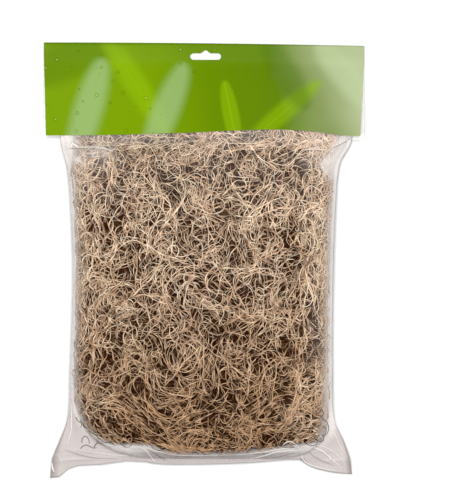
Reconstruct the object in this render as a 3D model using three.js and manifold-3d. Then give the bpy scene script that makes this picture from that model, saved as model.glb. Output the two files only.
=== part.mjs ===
// A bunch of dried Spanish moss in its retail pack: the moss, the clear film bag round it and
// the folded header card that closes the bag and carries the hang slot. Millimetres, +Z up.
// The pack lies on its back: +X is its right, +Y runs towards the header card, and z = 0 is
// the surface below it. The origin is the middle of that footprint.

import * as THREE from 'three';
import { mergeVertices } from 'three/addons/utils/BufferGeometryUtils.js';
import Module from 'manifold-3d';

const wasm = await Module();
wasm.setup();

// ---- driving dimensions ----

// Header card: printed board, folded along its top edge over the mouth of the bag.
const CARD_WIDTH = 320;
const CARD_LEAF = 94; // fold to lower edge, measured along the board
const BOARD = 0.5;
const FOLD_Y = 219;
const FOLD_SKEW = 3.5; // how much lower the fold sits at the card's right end
const FOLD_HEIGHT = 3.6; // over both leaves at the fold
const SEAL_ZONE = 17; // flat strip of the front leaf below the fold, with the hang slot in it
// [x, z] along the front leaf's lower edge, which the moss pushes up most right of the middle.
const LIFT = [[-160, 15], [-110, 17.5], [-20, 28.5], [60, 38], [110, 36.5], [140, 28], [160, 27]];
const LEFT_TUCK = 2.2; // the arched lower edge is this much narrower at its left end
const RIGHT_TUCK = 4.2;
const CARD_STATIONS = 16; // across the card
const LEAF_STEPS = 4; // down the front leaf's slope

// Hang slot: a round-ended bar with a low peak that finds the middle of the peg.
const SLOT_X = 1.6;
const SLOT_WIDTH = 31;
const SLOT_BAR = 6.6;
const SLOT_BELOW_FOLD = 13.2; // fold to the middle of the bar
const SLOT_PEAK = 3;
const SLOT_PEAK_WIDTH = 10.7;

// Film bag: a tube of thin film, welded along the bottom and open at the mouth in the card.
const FILM = 0.5;
const MOUTH_Y = 198.5;
const FILL_END_Y = -197; // where front and back film meet above the bottom weld
const WELD_Y = -202.5; // lower edge of the weld in the middle
const WELD_STEPS = [0.35, 1]; // where the weld's cross rows lie, of the way down it
const EAR_DROP = 15; // the flattened bottom corners hang this much lower than the middle
const EAR_POWER = 5; // how suddenly they do
const EAR_X = 150; // half the bag's width there
const EAR_FLARE = 0.012; // share by which the lower edge of an ear is wider
const EAR_SINK = 0.35; // share of its height that it loses
const CARD_CLEARANCE = 0.5; // film to board
const PAST_CARD_Y = 124; // the film lies under the front leaf as far as here
const CLIMB = 1; // how steeply it rises beyond that, on top of the leaf's own slope
const BLEND = 0.1; // share of the filling's height over which it rounds into the crown
const SIDE_MARGIN = 5; // flattened film outside the filling at both sides
const EDGE_HEIGHT = 2.2; // that film sinks towards this height, by
const EDGE_DROOP = 0.4; // of the way, at its edge
const BAG_STATIONS = [6, 15]; // under the card and below it
const BAG_COLUMNS = 12;

// [y, x] down the flattened edges of the bag, wide where nothing fills it.
const LEFT_EDGE = [
  [-219, -155], [-200, -153], [-180, -145], [-157, -136.5], [-110, -134],
  [-20, -131], [50, -133], [95, -137], [120, -143], [199, -147],
];
const RIGHT_EDGE = [
  [-219, 149], [-200, 147], [-180, 140], [-157, 130], [-110, 128],
  [-20, 128.5], [60, 131.5], [98, 135.5], [120, 147], [199, 152],
];
// [y, z] of the pillow's crown, and of the crease where front and back film meet.
const CROWN = [
  [-197, 6.5], [-193, 17], [-184, 31], [-165, 45], [-130, 56], [-60, 60], [40, 59.5],
  [90, 54], [132, 43], [150, 33], [199, 3],
];
const CREASE = [
  [-219, 2.2], [-203, 4.5], [-194, 6.5], [-150, 13], [-60, 16], [60, 15], [128, 9],
  [170, 3.4], [199, 1.8],
];
const CORNER_START_Y = -110; // the filling's plan outline starts to round towards the bottom here
const LEFT_CORNER = 3; // how square the filling's bottom corners are
const RIGHT_CORNER = 5;
const CORNER_REACH = 0.975; // of the rounded corner that is left when the weld cuts it off
const SECTION_POWER = 2.7; // how square the pillow's section is
const SECTION_ROUNDING = 0.45;
const SECTION_EVENNESS = 0.45; // 0 crowds the section's points at its creases, 1 spreads them evenly
const UNDERSIDE_FLATNESS = 1.12; // above 1 the underside lies flat before it reaches its middle
const END_CROWDING = 1.15; // how much the stations close up towards the end of the filling
const LEAF_RAMP_Y = 98; // the underside starts to climb onto the back leaf here

// Moss: a core of packed strands, with separate strands standing out of it on every side.
const MOSS_TOP_Y = 181;
const MOSS_GAP = 0.6; // outermost strands to the film
const MOSS_END_GAP = 2.5; // and to the end of the filling, where front and back film meet
const CORE_DEPTH = 12; // film to core, on average
const CORE_RELIEF = 4.4; // how far its ridges and hollows leave that depth
const CORE_SIDES = 34;
const CORE_STATIONS = [3, 14]; // under the card and below it
const STRAND_RADIUS = 1.7;
const STRAND_TAPER = 0.45; // share of its radius that a strand loses before its tip
const STRAND_COUNT = 215;
const STRAND_STEPS = 4;
const ROOT_STEP = 5;
const STRAND_STEP = 17;
const STRAND_BEND = [0.5, 1.1]; // radians from one step to the next, least and most
const STRAND_LAYERS = 2;
const LAYER_PITCH = 2.2; // from one layer to the next, in strand radii
const PILLOW_GIRTH = 600; // once round the pillow
const ROOT_MARGIN = 7; // roots keep this far from both ends of the moss
const ROOT_WALK = [0.7548776662, 0.5698402909]; // steps that fill a square evenly, round and down
const SEED = 20240;

// ---- small helpers ----

// Repeatable draws between 0 and 1 (mulberry32).
function randomStream(seed) {
  let state = seed >>> 0;
  return () => {
    state = (state + 0x6d2b79f5) >>> 0;
    let mixed = Math.imul(state ^ (state >>> 15), 1 | state);
    mixed = (mixed + Math.imul(mixed ^ (mixed >>> 7), 61 | mixed)) ^ mixed;
    return ((mixed ^ (mixed >>> 14)) >>> 0) / 4294967296;
  };
}

// Smooth curve through [position, value] keys: a cubic between each two, whose slope at a key
// is that of the line through its neighbours.
function through(keys, position) {
  const at = Math.min(Math.max(position, keys[0][0]), keys.at(-1)[0]);
  const slope = (k) => {
    const before = keys[Math.max(k - 1, 0)];
    const after = keys[Math.min(k + 1, keys.length - 1)];
    return (after[1] - before[1]) / (after[0] - before[0]);
  };
  const next = Math.max(1, keys.findIndex((key) => key[0] >= at));
  const [start, from] = keys[next - 1];
  const [stop, to] = keys[next];
  const span = stop - start;
  const t = (at - start) / span;
  const ease = t * t * (3 - 2 * t);
  const leave = t * (1 - t) * (1 - t) * span * slope(next - 1);
  const arrive = t * t * (t - 1) * span * slope(next);
  return from + (to - from) * ease + leave + arrive;
}

// Closed body between two grids: `over` seen from above, `under` from below, and walls round
// their border. Rows run towards -Y and columns towards +X. Points that coincide are merged.
function bodyBetween(over, under) {
  const rows = over.length;
  const columns = over[0].length;
  const points = [...over.flat(), ...under.flat()];
  const below = rows * columns;
  const indices = [];
  const quad = (a, b, c, d) => indices.push(a, b, c, a, c, d);
  for (let r = 0; r < rows - 1; r += 1) {
    for (let c = 0; c < columns - 1; c += 1) {
      const a = r * columns + c;
      quad(a, a + columns, a + columns + 1, a + 1);
      quad(below + a, below + a + 1, below + a + columns + 1, below + a + columns);
    }
  }
  for (let r = 0; r < rows - 1; r += 1) {
    const left = r * columns;
    const right = left + columns - 1;
    quad(left, below + left, below + left + columns, left + columns);
    quad(right, right + columns, below + right + columns, below + right);
  }
  for (let c = 0; c < columns - 1; c += 1) {
    const first = c;
    const last = (rows - 1) * columns + c;
    quad(first, first + 1, below + first + 1, below + first);
    quad(last, below + last, below + last + 1, last + 1);
  }
  return closedGeometry(points, indices);
}

// Indexed geometry with shared vertices and without the triangles that merging empties.
function closedGeometry(points, indices) {
  const raw = new THREE.BufferGeometry().setFromPoints(points);
  raw.setIndex(indices);
  const merged = mergeVertices(raw, 1e-4);
  const kept = [];
  const index = merged.index.array;
  for (let i = 0; i < index.length; i += 3) {
    const [a, b, c] = [index[i], index[i + 1], index[i + 2]];
    if (a !== b && b !== c && c !== a) kept.push(a, b, c);
  }
  merged.setIndex(kept);
  return merged;
}

function toSolid(geometry) {
  const plain = geometry.clone();
  plain.deleteAttribute('normal');
  plain.deleteAttribute('uv');
  const merged = mergeVertices(plain, 1e-4);
  const solid = new wasm.Manifold(new wasm.Mesh({
    numProp: 3,
    vertProperties: new Float32Array(merged.attributes.position.array),
    triVerts: new Uint32Array(merged.index.array),
  }));
  if (solid.status() !== 'NoError') throw new Error(`not a closed body: ${solid.status()}`);
  return solid;
}

function toGeometry(solid) {
  const mesh = solid.getMesh();
  const geometry = new THREE.BufferGeometry();
  geometry.setAttribute('position', new THREE.BufferAttribute(mesh.vertProperties, 3));
  geometry.setIndex(new THREE.BufferAttribute(mesh.triVerts, 1));
  geometry.computeVertexNormals();
  return geometry;
}

// ---- header card ----

const foldY = (x) => FOLD_Y - FOLD_SKEW * ((x + CARD_WIDTH / 2) / CARD_WIDTH) ** 2;
const leafLift = (x) => through(LIFT, x);

// How far below the fold, in plan, the front leaf's lower edge comes.
function leafReach(x) {
  const slanted = CARD_LEAF - SEAL_ZONE;
  const rise = leafLift(x) - FOLD_HEIGHT;
  return SEAL_ZONE + Math.sqrt(slanted ** 2 - rise ** 2);
}

// The front leaf narrows as it arches: the share of x that is left `part` of the way down it.
const narrowed = (x, part) => 1 - (part * (x < 0 ? LEFT_TUCK : RIGHT_TUCK)) / (CARD_WIDTH / 2);

// Height of the front leaf's underside at (x, y): flat in the seal zone, then straight up to
// the lower edge and on past it.
function leafUnderside(x, y) {
  const part = Math.max(0, (foldY(x) - y - SEAL_ZONE) / (leafReach(x) - SEAL_ZONE));
  const boardX = x / narrowed(x, Math.min(part, 1));
  return FOLD_HEIGHT - BOARD + part * (leafLift(boardX) - FOLD_HEIGHT);
}

// One face of the folded board at width x, from the back leaf's lower edge round the fold to
// the front leaf's: `inset` is 0 on the outer face and the board's thickness on the inner one.
function boardPath(x, inset) {
  const radius = FOLD_HEIGHT / 2;
  const fold = foldY(x) - radius;
  const path = [[foldY(x) - CARD_LEAF, inset], [fold, inset]];
  for (const degrees of [-60, -30, 0, 30, 60]) {
    const turn = THREE.MathUtils.degToRad(degrees);
    const reach = radius - inset;
    path.push([fold + reach * Math.cos(turn), radius + reach * Math.sin(turn)]);
  }
  const front = FOLD_HEIGHT - inset;
  path.push([fold, front]);
  const points = path.map(([y, z]) => new THREE.Vector3(x, y, z));
  for (let k = 0; k <= LEAF_STEPS; k += 1) {
    const part = k / LEAF_STEPS;
    const y = foldY(x) - SEAL_ZONE - part * (leafReach(x) - SEAL_ZONE);
    const z = front + part * (leafLift(x) - FOLD_HEIGHT);
    points.push(new THREE.Vector3(x * narrowed(x, part), y, z));
  }
  return points;
}

function slotCutter() {
  const half = SLOT_BAR / 2;
  const straight = SLOT_WIDTH / 2 - half;
  const peak = SLOT_PEAK_WIDTH / 2;
  const shape = new THREE.Shape();
  shape.moveTo(-straight, -half);
  shape.lineTo(straight, -half);
  shape.absarc(straight, 0, half, -Math.PI / 2, Math.PI / 2);
  shape.lineTo(peak, half);
  const top = half + SLOT_PEAK;
  const flank = (half + top) / 2;
  shape.bezierCurveTo(peak * 0.55, flank, peak * 0.45, top, 0, top);
  shape.bezierCurveTo(-peak * 0.45, top, -peak * 0.55, flank, -peak, half);
  shape.lineTo(-straight, half);
  shape.absarc(-straight, 0, half, Math.PI / 2, Math.PI * 1.5);
  const depth = 3 * FOLD_HEIGHT;
  const cutter = new THREE.ExtrudeGeometry(shape, { depth, bevelEnabled: false, curveSegments: 6 });
  return cutter.translate(SLOT_X, foldY(SLOT_X) - SLOT_BELOW_FOLD, -FOLD_HEIGHT);
}

function headerCard() {
  const outer = [];
  const inner = [];
  for (let i = 0; i <= CARD_STATIONS; i += 1) {
    const x = CARD_WIDTH * (i / CARD_STATIONS - 0.5);
    outer.push(boardPath(x, 0));
    inner.push(boardPath(x, BOARD));
  }
  const transpose = (rows) => rows[0].map((_, k) => rows.map((row) => row[k]));
  const board = toSolid(bodyBetween(transpose(outer), transpose(inner)));
  return toGeometry(board.subtract(toSolid(slotCutter())));
}

// ---- the pillow that the film and the moss share ----

// Plan outline of the filling at y, with its corners rounded towards the bottom weld: the
// middle, and the reach from there to the left and to the right.
function fillingSpan(y, inset) {
  const left = through(LEFT_EDGE, Math.max(y, CORNER_START_Y)) + SIDE_MARGIN;
  const right = through(RIGHT_EDGE, Math.max(y, CORNER_START_Y)) - SIDE_MARGIN;
  const down = CORNER_REACH * Math.max(0, (CORNER_START_Y - y) / (CORNER_START_Y - FILL_END_Y));
  const reach = (power) => ((right - left) / 2) * (1 - down ** power) ** (1 / power) - inset;
  return { middle: (left + right) / 2, toLeft: reach(LEFT_CORNER), toRight: reach(RIGHT_CORNER) };
}

// Height of the filling's underside: the film lies on the surface, and over the back leaf.
const floorUnder = (y) => {
  const onLeaf = THREE.MathUtils.smoothstep(y, LEAF_RAMP_Y, FOLD_Y - CARD_LEAF - FOLD_SKEW);
  return FILM + (BOARD + CARD_CLEARANCE) * onLeaf;
};

// Share of the room that is left below a depth given as a share of the room: 1 at the film and
// falling by the full depth at first, but never to nothing where the pillow is thin.
const thinned = (share) => (Number.isFinite(share) ? Math.exp(-share) : 0);

// Point of the pillow's section at y: `turn` goes once round it, over the crown from the right
// crease to the left one at a half and back along the underside; `inset` is the depth below
// the film's inner face.
function pillowPoint(turn, y, inset) {
  const { middle, toLeft, toRight } = fillingSpan(y, inset);
  const crease = through(CREASE, y);
  const crown = through(CROWN, y) - FILM;
  const share = turn <= 0.5 ? 2 * turn : 2 - 2 * turn;
  const across = SECTION_EVENNESS * (1 - 2 * share) + (1 - SECTION_EVENNESS) * Math.cos(Math.PI * share);
  const swell = Math.max(0, 1 - Math.abs(across) ** SECTION_POWER) ** SECTION_ROUNDING;
  const x = middle + (across < 0 ? toLeft : toRight) * across;
  if (turn <= 0.5) {
    const room = crown - crease;
    const own = crease + room * thinned(inset / room) * swell;
    const climb = CLIMB * Math.max(0, PAST_CARD_Y - y);
    const cover = leafUnderside(x, y) + climb - CARD_CLEARANCE - FILM;
    const lid = cover - room * (1 - thinned(inset / room));
    // The lower of the two, eased where they cross.
    const capped = (own + lid - Math.hypot(own - lid, BLEND * room)) / 2;
    return new THREE.Vector3(x, y, Math.max(capped, crease));
  }
  const room = crease - floorUnder(y);
  const fall = Math.min(1, UNDERSIDE_FLATNESS * swell);
  return new THREE.Vector3(x, y, crease - room * thinned(inset / room) * fall);
}

// Stations down the pillow: even steps as far as just past the card's lower edge, then steps
// that close up where the pillow rounds over to the bottom weld.
function stationsDown(topY, endY, underCard, below) {
  const upper = Array.from({ length: underCard }, (_, k) => (
    topY + (PAST_CARD_Y - topY) * (k / underCard)
  ));
  const lower = Array.from({ length: below + 1 }, (_, k) => (
    PAST_CARD_Y + (endY - PAST_CARD_Y) * Math.sin((k / below) * (Math.PI / 2)) ** END_CROWDING
  ));
  return [...upper, ...lower];
}

// Closed solid of the whole pillow at one inset, run on beyond the mouth by `past` and held
// back from the end of the filling by `endGap`.
function pillowSolid(inset, past, endGap) {
  const endY = FILL_END_Y + endGap;
  const ys = stationsDown(MOUTH_Y, FILL_END_Y, ...BAG_STATIONS).filter((y) => y > endY + 0.5);
  ys.push(endY);
  const face = (y, from, to) => Array.from({ length: BAG_COLUMNS + 1 }, (_, c) => (
    pillowPoint(from + (to - from) * (c / BAG_COLUMNS), y, inset)
  ));
  const over = ys.map((y) => face(y, 0.5, 0));
  const under = ys.map((y) => face(y, 0.5, 1));
  for (const rows of [over, under]) {
    rows.unshift(rows[0].map((p) => new THREE.Vector3(p.x, MOUTH_Y + past, p.z)));
  }
  return toSolid(bodyBetween(over, under));
}

// ---- film bag ----

function filmBag() {
  const ys = stationsDown(MOUTH_Y, FILL_END_Y, ...BAG_STATIONS);
  // One face of the film from the left crease to the right one, a film's thickness outside
  // the filling.
  const face = (y, from, to, push) => Array.from({ length: BAG_COLUMNS + 1 }, (_, c) => {
    const point = pillowPoint(from + (to - from) * (c / BAG_COLUMNS), y, 0);
    const { middle, toLeft, toRight } = fillingSpan(y, 0);
    point.x += (FILM * (point.x - middle)) / (point.x < middle ? toLeft : toRight);
    point.z += push;
    return point;
  });
  // The flattened film outside the filling, in two steps to its drooping edge.
  const withMargins = (row, y, push) => {
    const left = through(LEFT_EDGE, y);
    const right = through(RIGHT_EDGE, y);
    const crease = through(CREASE, y);
    const sink = EDGE_DROOP * Math.max(0, crease - EDGE_HEIGHT);
    const edge = (x, share) => new THREE.Vector3(x, y, crease + push - sink * share);
    return [
      edge(left, 1), edge((left + row[0].x) / 2, 0.5), ...row,
      edge((right + row.at(-1).x) / 2, 0.5), edge(right, 1),
    ];
  };
  const over = ys.map((y) => withMargins(face(y, 0.5, 0, FILM), y, FILM));
  const under = ys.map((y) => withMargins(face(y, 0.5, 1, -FILM), y, -FILM));
  for (const share of WELD_STEPS) {
    over.push(weldRow(over.at(-1), ys.at(-1), share, FILM));
    under.push(weldRow(under.at(-1), ys.at(-1), share, -FILM));
  }
  return toGeometry(toSolid(bodyBetween(over, under)).subtract(pillowSolid(0, 2, 0)));
}

// A row across the bottom weld, `share` of the way to its lower edge: straight in the middle
// and hanging lower towards both ears.
function weldRow(row, startY, share, push) {
  return row.map((point) => {
    const out = Math.abs(point.x) / EAR_X;
    const edgeY = WELD_Y - EAR_DROP * out ** EAR_POWER;
    const y = startY + (edgeY - startY) * share;
    const droop = THREE.MathUtils.smoothstep(out, 0.5, 1) * share;
    const z = through(CREASE, y) * (1 - EAR_SINK * droop) + push;
    return new THREE.Vector3(point.x * (1 + EAR_FLARE * share * out), y, Math.max(z, FILM + push));
  });
}

// ---- moss ----

// Depth of one point of the core's surface: packed strands leave it all ridges and hollows.
const roughDepth = (random) => CORE_DEPTH + CORE_RELIEF * (2 * random() - 1);

function mossCore(random) {
  const around = CORE_SIDES;
  const ys = stationsDown(MOSS_TOP_Y - CORE_DEPTH, FILL_END_Y + CORE_DEPTH, ...CORE_STATIONS);
  const ring = (y) => Array.from({ length: around }, (_, c) => (
    pillowPoint(c / around, y, roughDepth(random))
  ));
  const rings = ys.map(ring);
  const centre = (row) => row.reduce((sum, p) => sum.add(p), new THREE.Vector3()).divideScalar(around);
  const points = [...rings.flat(), centre(rings[0]), centre(rings.at(-1))];
  const topHub = rings.length * around;
  const endHub = topHub + 1;
  const indices = [];
  for (let c = 0; c < around; c += 1) {
    const next = (c + 1) % around;
    for (let r = 0; r < rings.length - 1; r += 1) {
      const a = r * around;
      const b = a + around;
      indices.push(a + c, b + next, b + c, a + c, a + next, b + next);
    }
    const last = (rings.length - 1) * around;
    indices.push(topHub, next, c, endHub, last + c, last + next);
  }
  return closedGeometry(points, indices);
}

// Three-sided strand along a list of points, thinning from its root to a pointed tip.
function strandGeometry(route) {
  const sides = 3;
  const last = route.length - 1;
  const up = new THREE.Vector3(0, 0, 1);
  const points = [];
  for (let k = 0; k < last; k += 1) {
    const ahead = new THREE.Vector3().subVectors(route[k + 1], route[Math.max(k - 1, 0)]).normalize();
    const side = new THREE.Vector3().crossVectors(ahead, up).normalize();
    const lift = new THREE.Vector3().crossVectors(side, ahead);
    const radius = STRAND_RADIUS * (1 - (STRAND_TAPER * k) / last);
    for (let s = 0; s < sides; s += 1) {
      const turn = (s / sides) * Math.PI * 2 + Math.PI / 2;
      points.push(route[k].clone()
        .addScaledVector(side, radius * Math.cos(turn))
        .addScaledVector(lift, radius * Math.sin(turn)));
    }
  }
  points.push(route[last]);
  const tip = last * sides;
  const indices = [0, 1, 2];
  for (let s = 0; s < sides; s += 1) {
    const beside = (s + 1) % sides;
    for (let k = 0; k < last - 1; k += 1) {
      const a = k * sides + s;
      const b = k * sides + beside;
      indices.push(a, b + sides, b, a, a + sides, b + sides);
    }
    indices.push(tip - sides + s, tip, tip - sides + beside);
  }
  return closedGeometry(points, indices);
}

// Route of one strand: rooted in the core, it comes straight out into one of the layers under
// the film, where it passes over or under its neighbours, and curls on there to its free tip.
function strandRoute(random, place, y, layer) {
  const depth = 2 * MOSS_GAP + STRAND_RADIUS * (1 + LAYER_PITCH * layer);
  const side = random() < 0.5 ? -1 : 1;
  const bend = side * THREE.MathUtils.lerp(...STRAND_BEND, random());
  let heading = random() * Math.PI * 2;
  let around = place;
  let down = y;
  const route = [pillowPoint(evenTurn(around), down, CORE_DEPTH + CORE_RELIEF + 2 * STRAND_RADIUS)];
  for (let k = 1; k <= STRAND_STEPS; k += 1) {
    const step = k === 1 ? ROOT_STEP : STRAND_STEP;
    around += (Math.cos(heading) * step) / PILLOW_GIRTH;
    down += Math.sin(heading) * step;
    down = THREE.MathUtils.clamp(down, FILL_END_Y + MOSS_END_GAP + depth, MOSS_TOP_Y);
    route.push(pillowPoint(evenTurn(around), down, depth));
    heading += bend;
  }
  return route;
}

// Even distances round the pillow, as turns of pillowPoint.
function evenTurn(around) {
  const whole = ((around % 1) + 1) % 1;
  return whole + 0.04 * Math.sin(4 * Math.PI * whole);
}

function mossBunch() {
  const random = randomStream(SEED);
  let bunch = toSolid(mossCore(random));
  for (let k = 0; k < STRAND_COUNT; k += 1) {
    // A low-discrepancy walk spreads the roots evenly over the whole pillow.
    const place = (k * ROOT_WALK[0]) % 1;
    const down = (k * ROOT_WALK[1]) % 1;
    const y = THREE.MathUtils.lerp(MOSS_TOP_Y - ROOT_MARGIN, FILL_END_Y + ROOT_MARGIN, down);
    const route = strandRoute(random, place, y, k % STRAND_LAYERS);
    bunch = bunch.add(toSolid(strandGeometry(route)));
  }
  // Trimming to the bag can cut a tip loose: only the bunch itself is kept.
  const trimmed = bunch.intersect(pillowSolid(MOSS_GAP, -MOSS_GAP, MOSS_END_GAP));
  const bodies = trimmed.decompose().sort((one, other) => other.volume() - one.volume());
  return toGeometry(bodies[0]);
}

// ---- the pack ----

function piece(name, geometry, color, roughness) {
  const material = new THREE.MeshStandardMaterial({ color, roughness, metalness: 0 });
  const mesh = new THREE.Mesh(geometry, material);
  mesh.name = name;
  return mesh;
}

const pack = new THREE.Group();
pack.add(piece('header_card', headerCard(), 0x6f9a14, 0.35));
const film = piece('bag_film', filmBag(), 0xe4ded6, 0.12);
film.material.transparent = true;
film.material.opacity = 0.3;
pack.add(film);
pack.add(piece('moss_bunch', mossBunch(), 0x8a6d55, 0.9));

export default pack;
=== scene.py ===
# %% [markdown]
# # A bunch of Spanish moss in its bag
# Dried Spanish moss is sold as a tangle of thin, curling, forked strands, pressed into a flat clear
# bag whose mouth is closed by a folded header card. This lesson dresses the fixed CAD frame of that
# pack: the strands one by one, the thin film with its wrinkles and haze, and the printed board.
# The frame comes first, because every piece is laid where the CAD solids are.

# %% The fixed frame
from math import cos, pi, radians, sin

import bpy
import numpy as np
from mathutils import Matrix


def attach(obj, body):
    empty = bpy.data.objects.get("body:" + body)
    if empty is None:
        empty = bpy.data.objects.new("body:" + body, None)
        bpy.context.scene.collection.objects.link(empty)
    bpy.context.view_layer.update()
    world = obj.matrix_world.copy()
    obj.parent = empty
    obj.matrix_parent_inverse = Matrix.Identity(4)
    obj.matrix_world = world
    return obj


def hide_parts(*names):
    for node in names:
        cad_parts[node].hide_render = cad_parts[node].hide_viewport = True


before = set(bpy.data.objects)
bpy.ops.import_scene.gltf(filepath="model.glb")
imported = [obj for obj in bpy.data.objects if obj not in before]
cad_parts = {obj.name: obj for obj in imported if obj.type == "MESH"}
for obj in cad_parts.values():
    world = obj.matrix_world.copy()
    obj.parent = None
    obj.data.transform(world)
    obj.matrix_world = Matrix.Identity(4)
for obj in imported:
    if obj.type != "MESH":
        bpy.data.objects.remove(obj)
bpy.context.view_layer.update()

MM = 0.001

# %% [markdown]
# ## Driving sizes
# The pack lies on its back: +X is its right, +Y runs to the header card and z = 0 is the surface.
# These are the sizes that the CAD solids were made from, in metres. The film and the moss are laid
# by the same formulas, only on far finer grids, so they stay where their solids are.

# %% Sizes of the card, the bag and its filling
CARD_WIDTH = 320 * MM
CARD_LEAF = 94 * MM  # fold to lower edge, along the board
BOARD = 0.5 * MM
FOLD_Y = 219 * MM
FOLD_SKEW = 3.5 * MM  # how much lower the fold sits at the right end
FOLD_HEIGHT = 3.6 * MM  # over both leaves at the fold
SEAL_ZONE = 17 * MM  # flat strip below the fold
# (x, z) along the front leaf's lower edge, which the moss lifts most right of the middle.
LIFT = np.array([
    (-160, 15), (-110, 17.5), (-20, 28.5), (60, 38), (110, 36.5), (140, 28), (160, 27),
]) * MM
LEFT_TUCK = 2.2 * MM  # the arched lower edge is this much narrower at its left end
RIGHT_TUCK = 4.2 * MM
LEAF_BEND = 0.05  # share of its slope over which the leaf bends out of the flat strip

SLOT_X = 1.6 * MM
SLOT_WIDTH = 31 * MM
SLOT_BAR = 6.6 * MM  # height of the slot without its peak
SLOT_BELOW_FOLD = 13.2 * MM
SLOT_PEAK = 3 * MM
SLOT_PEAK_WIDTH = 10.7 * MM

FILM = 0.5 * MM  # film of the CAD bag, whose outer face the dressed film keeps
MOUTH_Y = 198.5 * MM
FILL_END_Y = -197 * MM
CARD_CLEARANCE = 0.5 * MM
PAST_CARD_Y = 124 * MM  # the film lies under the front leaf as far as here
CLIMB = 1  # how steeply it rises beyond that, on top of the leaf's own slope
BLEND = 0.1  # share of the filling's height over which it rounds into the crown
SIDE_MARGIN = 3.4 * MM  # the least width of flat film beside the filling
EDGE_HEIGHT = 2.2 * MM  # margins sink towards this height
EDGE_DROOP = 0.4  # and come this share of the way by their edge

# (y, x) of the film's edges, then (y, z) of the filling's top and of the creases at its sides.
LEFT_EDGE = np.array([
    (-219, -155), (-200, -153), (-180, -145), (-157, -136.5), (-110, -134),
    (-20, -131), (50, -133), (95, -137), (120, -143), (199, -147),
]) * MM
RIGHT_EDGE = np.array([
    (-219, 149), (-200, 147), (-180, 140), (-157, 130), (-110, 128),
    (-20, 128.5), (60, 131.5), (98, 135.5), (120, 147), (199, 152),
]) * MM
CROWN = np.array([
    (-197, 6.5), (-193, 17), (-184, 31), (-165, 45), (-130, 56), (-60, 60), (40, 59.5),
    (90, 54), (132, 43), (150, 33), (199, 3),
]) * MM
CREASE = np.array([
    (-219, 2.2), (-203, 4.5), (-194, 6.5), (-150, 13), (-60, 16), (60, 15), (128, 9),
    (170, 3.4), (199, 1.8),
]) * MM
CORNER_START_Y = -110 * MM  # the filling's plan outline rounds towards the bottom from here
LEFT_CORNER = 3  # how square its bottom corners are
RIGHT_CORNER = 5
CORNER_REACH = 0.975  # below 1, the rounded end keeps some width
SECTION_POWER = 2.7  # p and q of the section's swell, (1 - |across|^p)^q
SECTION_ROUNDING = 0.45
SECTION_EVENNESS = 0.45  # points of a section lie evenly across it by this share, the rest by a cosine
UNDERSIDE_FLATNESS = 1.12  # the underside is flat where this times the swell passes 1
LEAF_RAMP_Y = 98 * MM  # from here on the underside rises on to the card's back leaf
MOSS_TOP_Y = 181 * MM
MOSS_END_GAP = 2.5 * MM  # between the moss and the end of the filling
# (x, y) along the lower end of the moss, which stops short of the bag's corners.
MOSS_FOOT = np.array([
    (-126, -156.5), (-114, -169.5), (-102, -177.5), (-90, -182.5), (-54, -183.5), (-42, -188.5),
    (-30, -191.5), (30, -191.5), (66, -187.5), (90, -183.5), (114, -180.5), (124, -174), (128, -163.5),
]) * MM

print(f"card {CARD_WIDTH:.3f} m wide, bag filled for {MOSS_TOP_Y - FILL_END_Y:.3f} m")

# %% [markdown]
# ## Curves through keys
# A profile such as the crown's height along the bag is a few keys with a smooth curve through them.
# A cubic between each two keys, whose slope at a key is that of the line through its neighbours,
# never kinks and needs no solver. It works on a whole array of positions at once.

# %% Smooth profiles and noise
def through(keys, position):
    """Cubic between each two (place, value) keys; a key's slope is that of the line through the
    keys beside it. Beyond the ends the end value holds."""
    place, value = keys[:, 0], keys[:, 1]
    order = np.arange(len(keys))
    before, after = np.maximum(order - 1, 0), np.minimum(order + 1, len(keys) - 1)
    slope = (value[after] - value[before]) / (place[after] - place[before])
    at = np.clip(position, place[0], place[-1])
    k = np.clip(np.searchsorted(place, at), 1, len(keys) - 1)
    span = place[k] - place[k - 1]
    t = (at - place[k - 1]) / span
    ease = t * t * (3 - 2 * t)
    leave = t * (1 - t) ** 2 * span * slope[k - 1]
    arrive = t * t * (t - 1) * span * slope[k]
    return value[k - 1] + (value[k] - value[k - 1]) * ease + leave + arrive


def smoothstep(value, low, high):
    """0 up to low, 1 from high on, and 3t^2 - 2t^3 between them."""
    t = np.clip((value - low) / (high - low), 0, 1)
    return t * t * (3 - 2 * t)


LATTICE = 64  # cells after which the noise repeats


def lattice_noise(x, y, cell, seed):
    """Smooth noise from 0 to 1: a seeded random value at each corner of a square lattice of that
    cell, eased between the four corners round a point."""
    table = np.random.default_rng(seed).random((LATTICE, LATTICE))
    u, v = x / cell, y / cell
    i, j = np.floor(u).astype(int), np.floor(v).astype(int)
    s, t = smoothstep(u - i, 0, 1), smoothstep(v - j, 0, 1)
    i, j = i % LATTICE, j % LATTICE
    right, up = (i + 1) % LATTICE, (j + 1) % LATTICE
    low = table[i, j] * (1 - s) + table[right, j] * s
    high = table[i, up] * (1 - s) + table[right, up] * s
    return low * (1 - t) + high * t


def ridges(x, y, cell, seed, sharpness):
    """Thin branching ridges, 1 on a ridge and 0 away from it: where the noise passes a half."""
    return (1 - np.abs(2 * lattice_noise(x, y, cell, seed) - 1)) ** sharpness


print(f"crown at y = 0: {through(CROWN, 0) / MM:.1f} mm, crease: {through(CREASE, 0) / MM:.1f} mm")

# %% [markdown]
# ## The pillow
# Film and moss share one body, a pillow: across it, a rounded box that rises from a crease at each
# side to the crown and falls to a flat underside. Going once round the section is a turn from 0 to 1.
# The header card's front leaf rests on the pillow's upper end like a lid.

# %% Formulas of the pillow and of the lid
def fold_y(x):
    """Where the fold lies: FOLD_Y less a parabola that comes to FOLD_SKEW at the right end."""
    return FOLD_Y - FOLD_SKEW * ((x + CARD_WIDTH / 2) / CARD_WIDTH) ** 2


def leaf_lift(x):
    """Height of the front leaf's lower edge: the smooth line through LIFT."""
    return through(LIFT, x)


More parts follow.
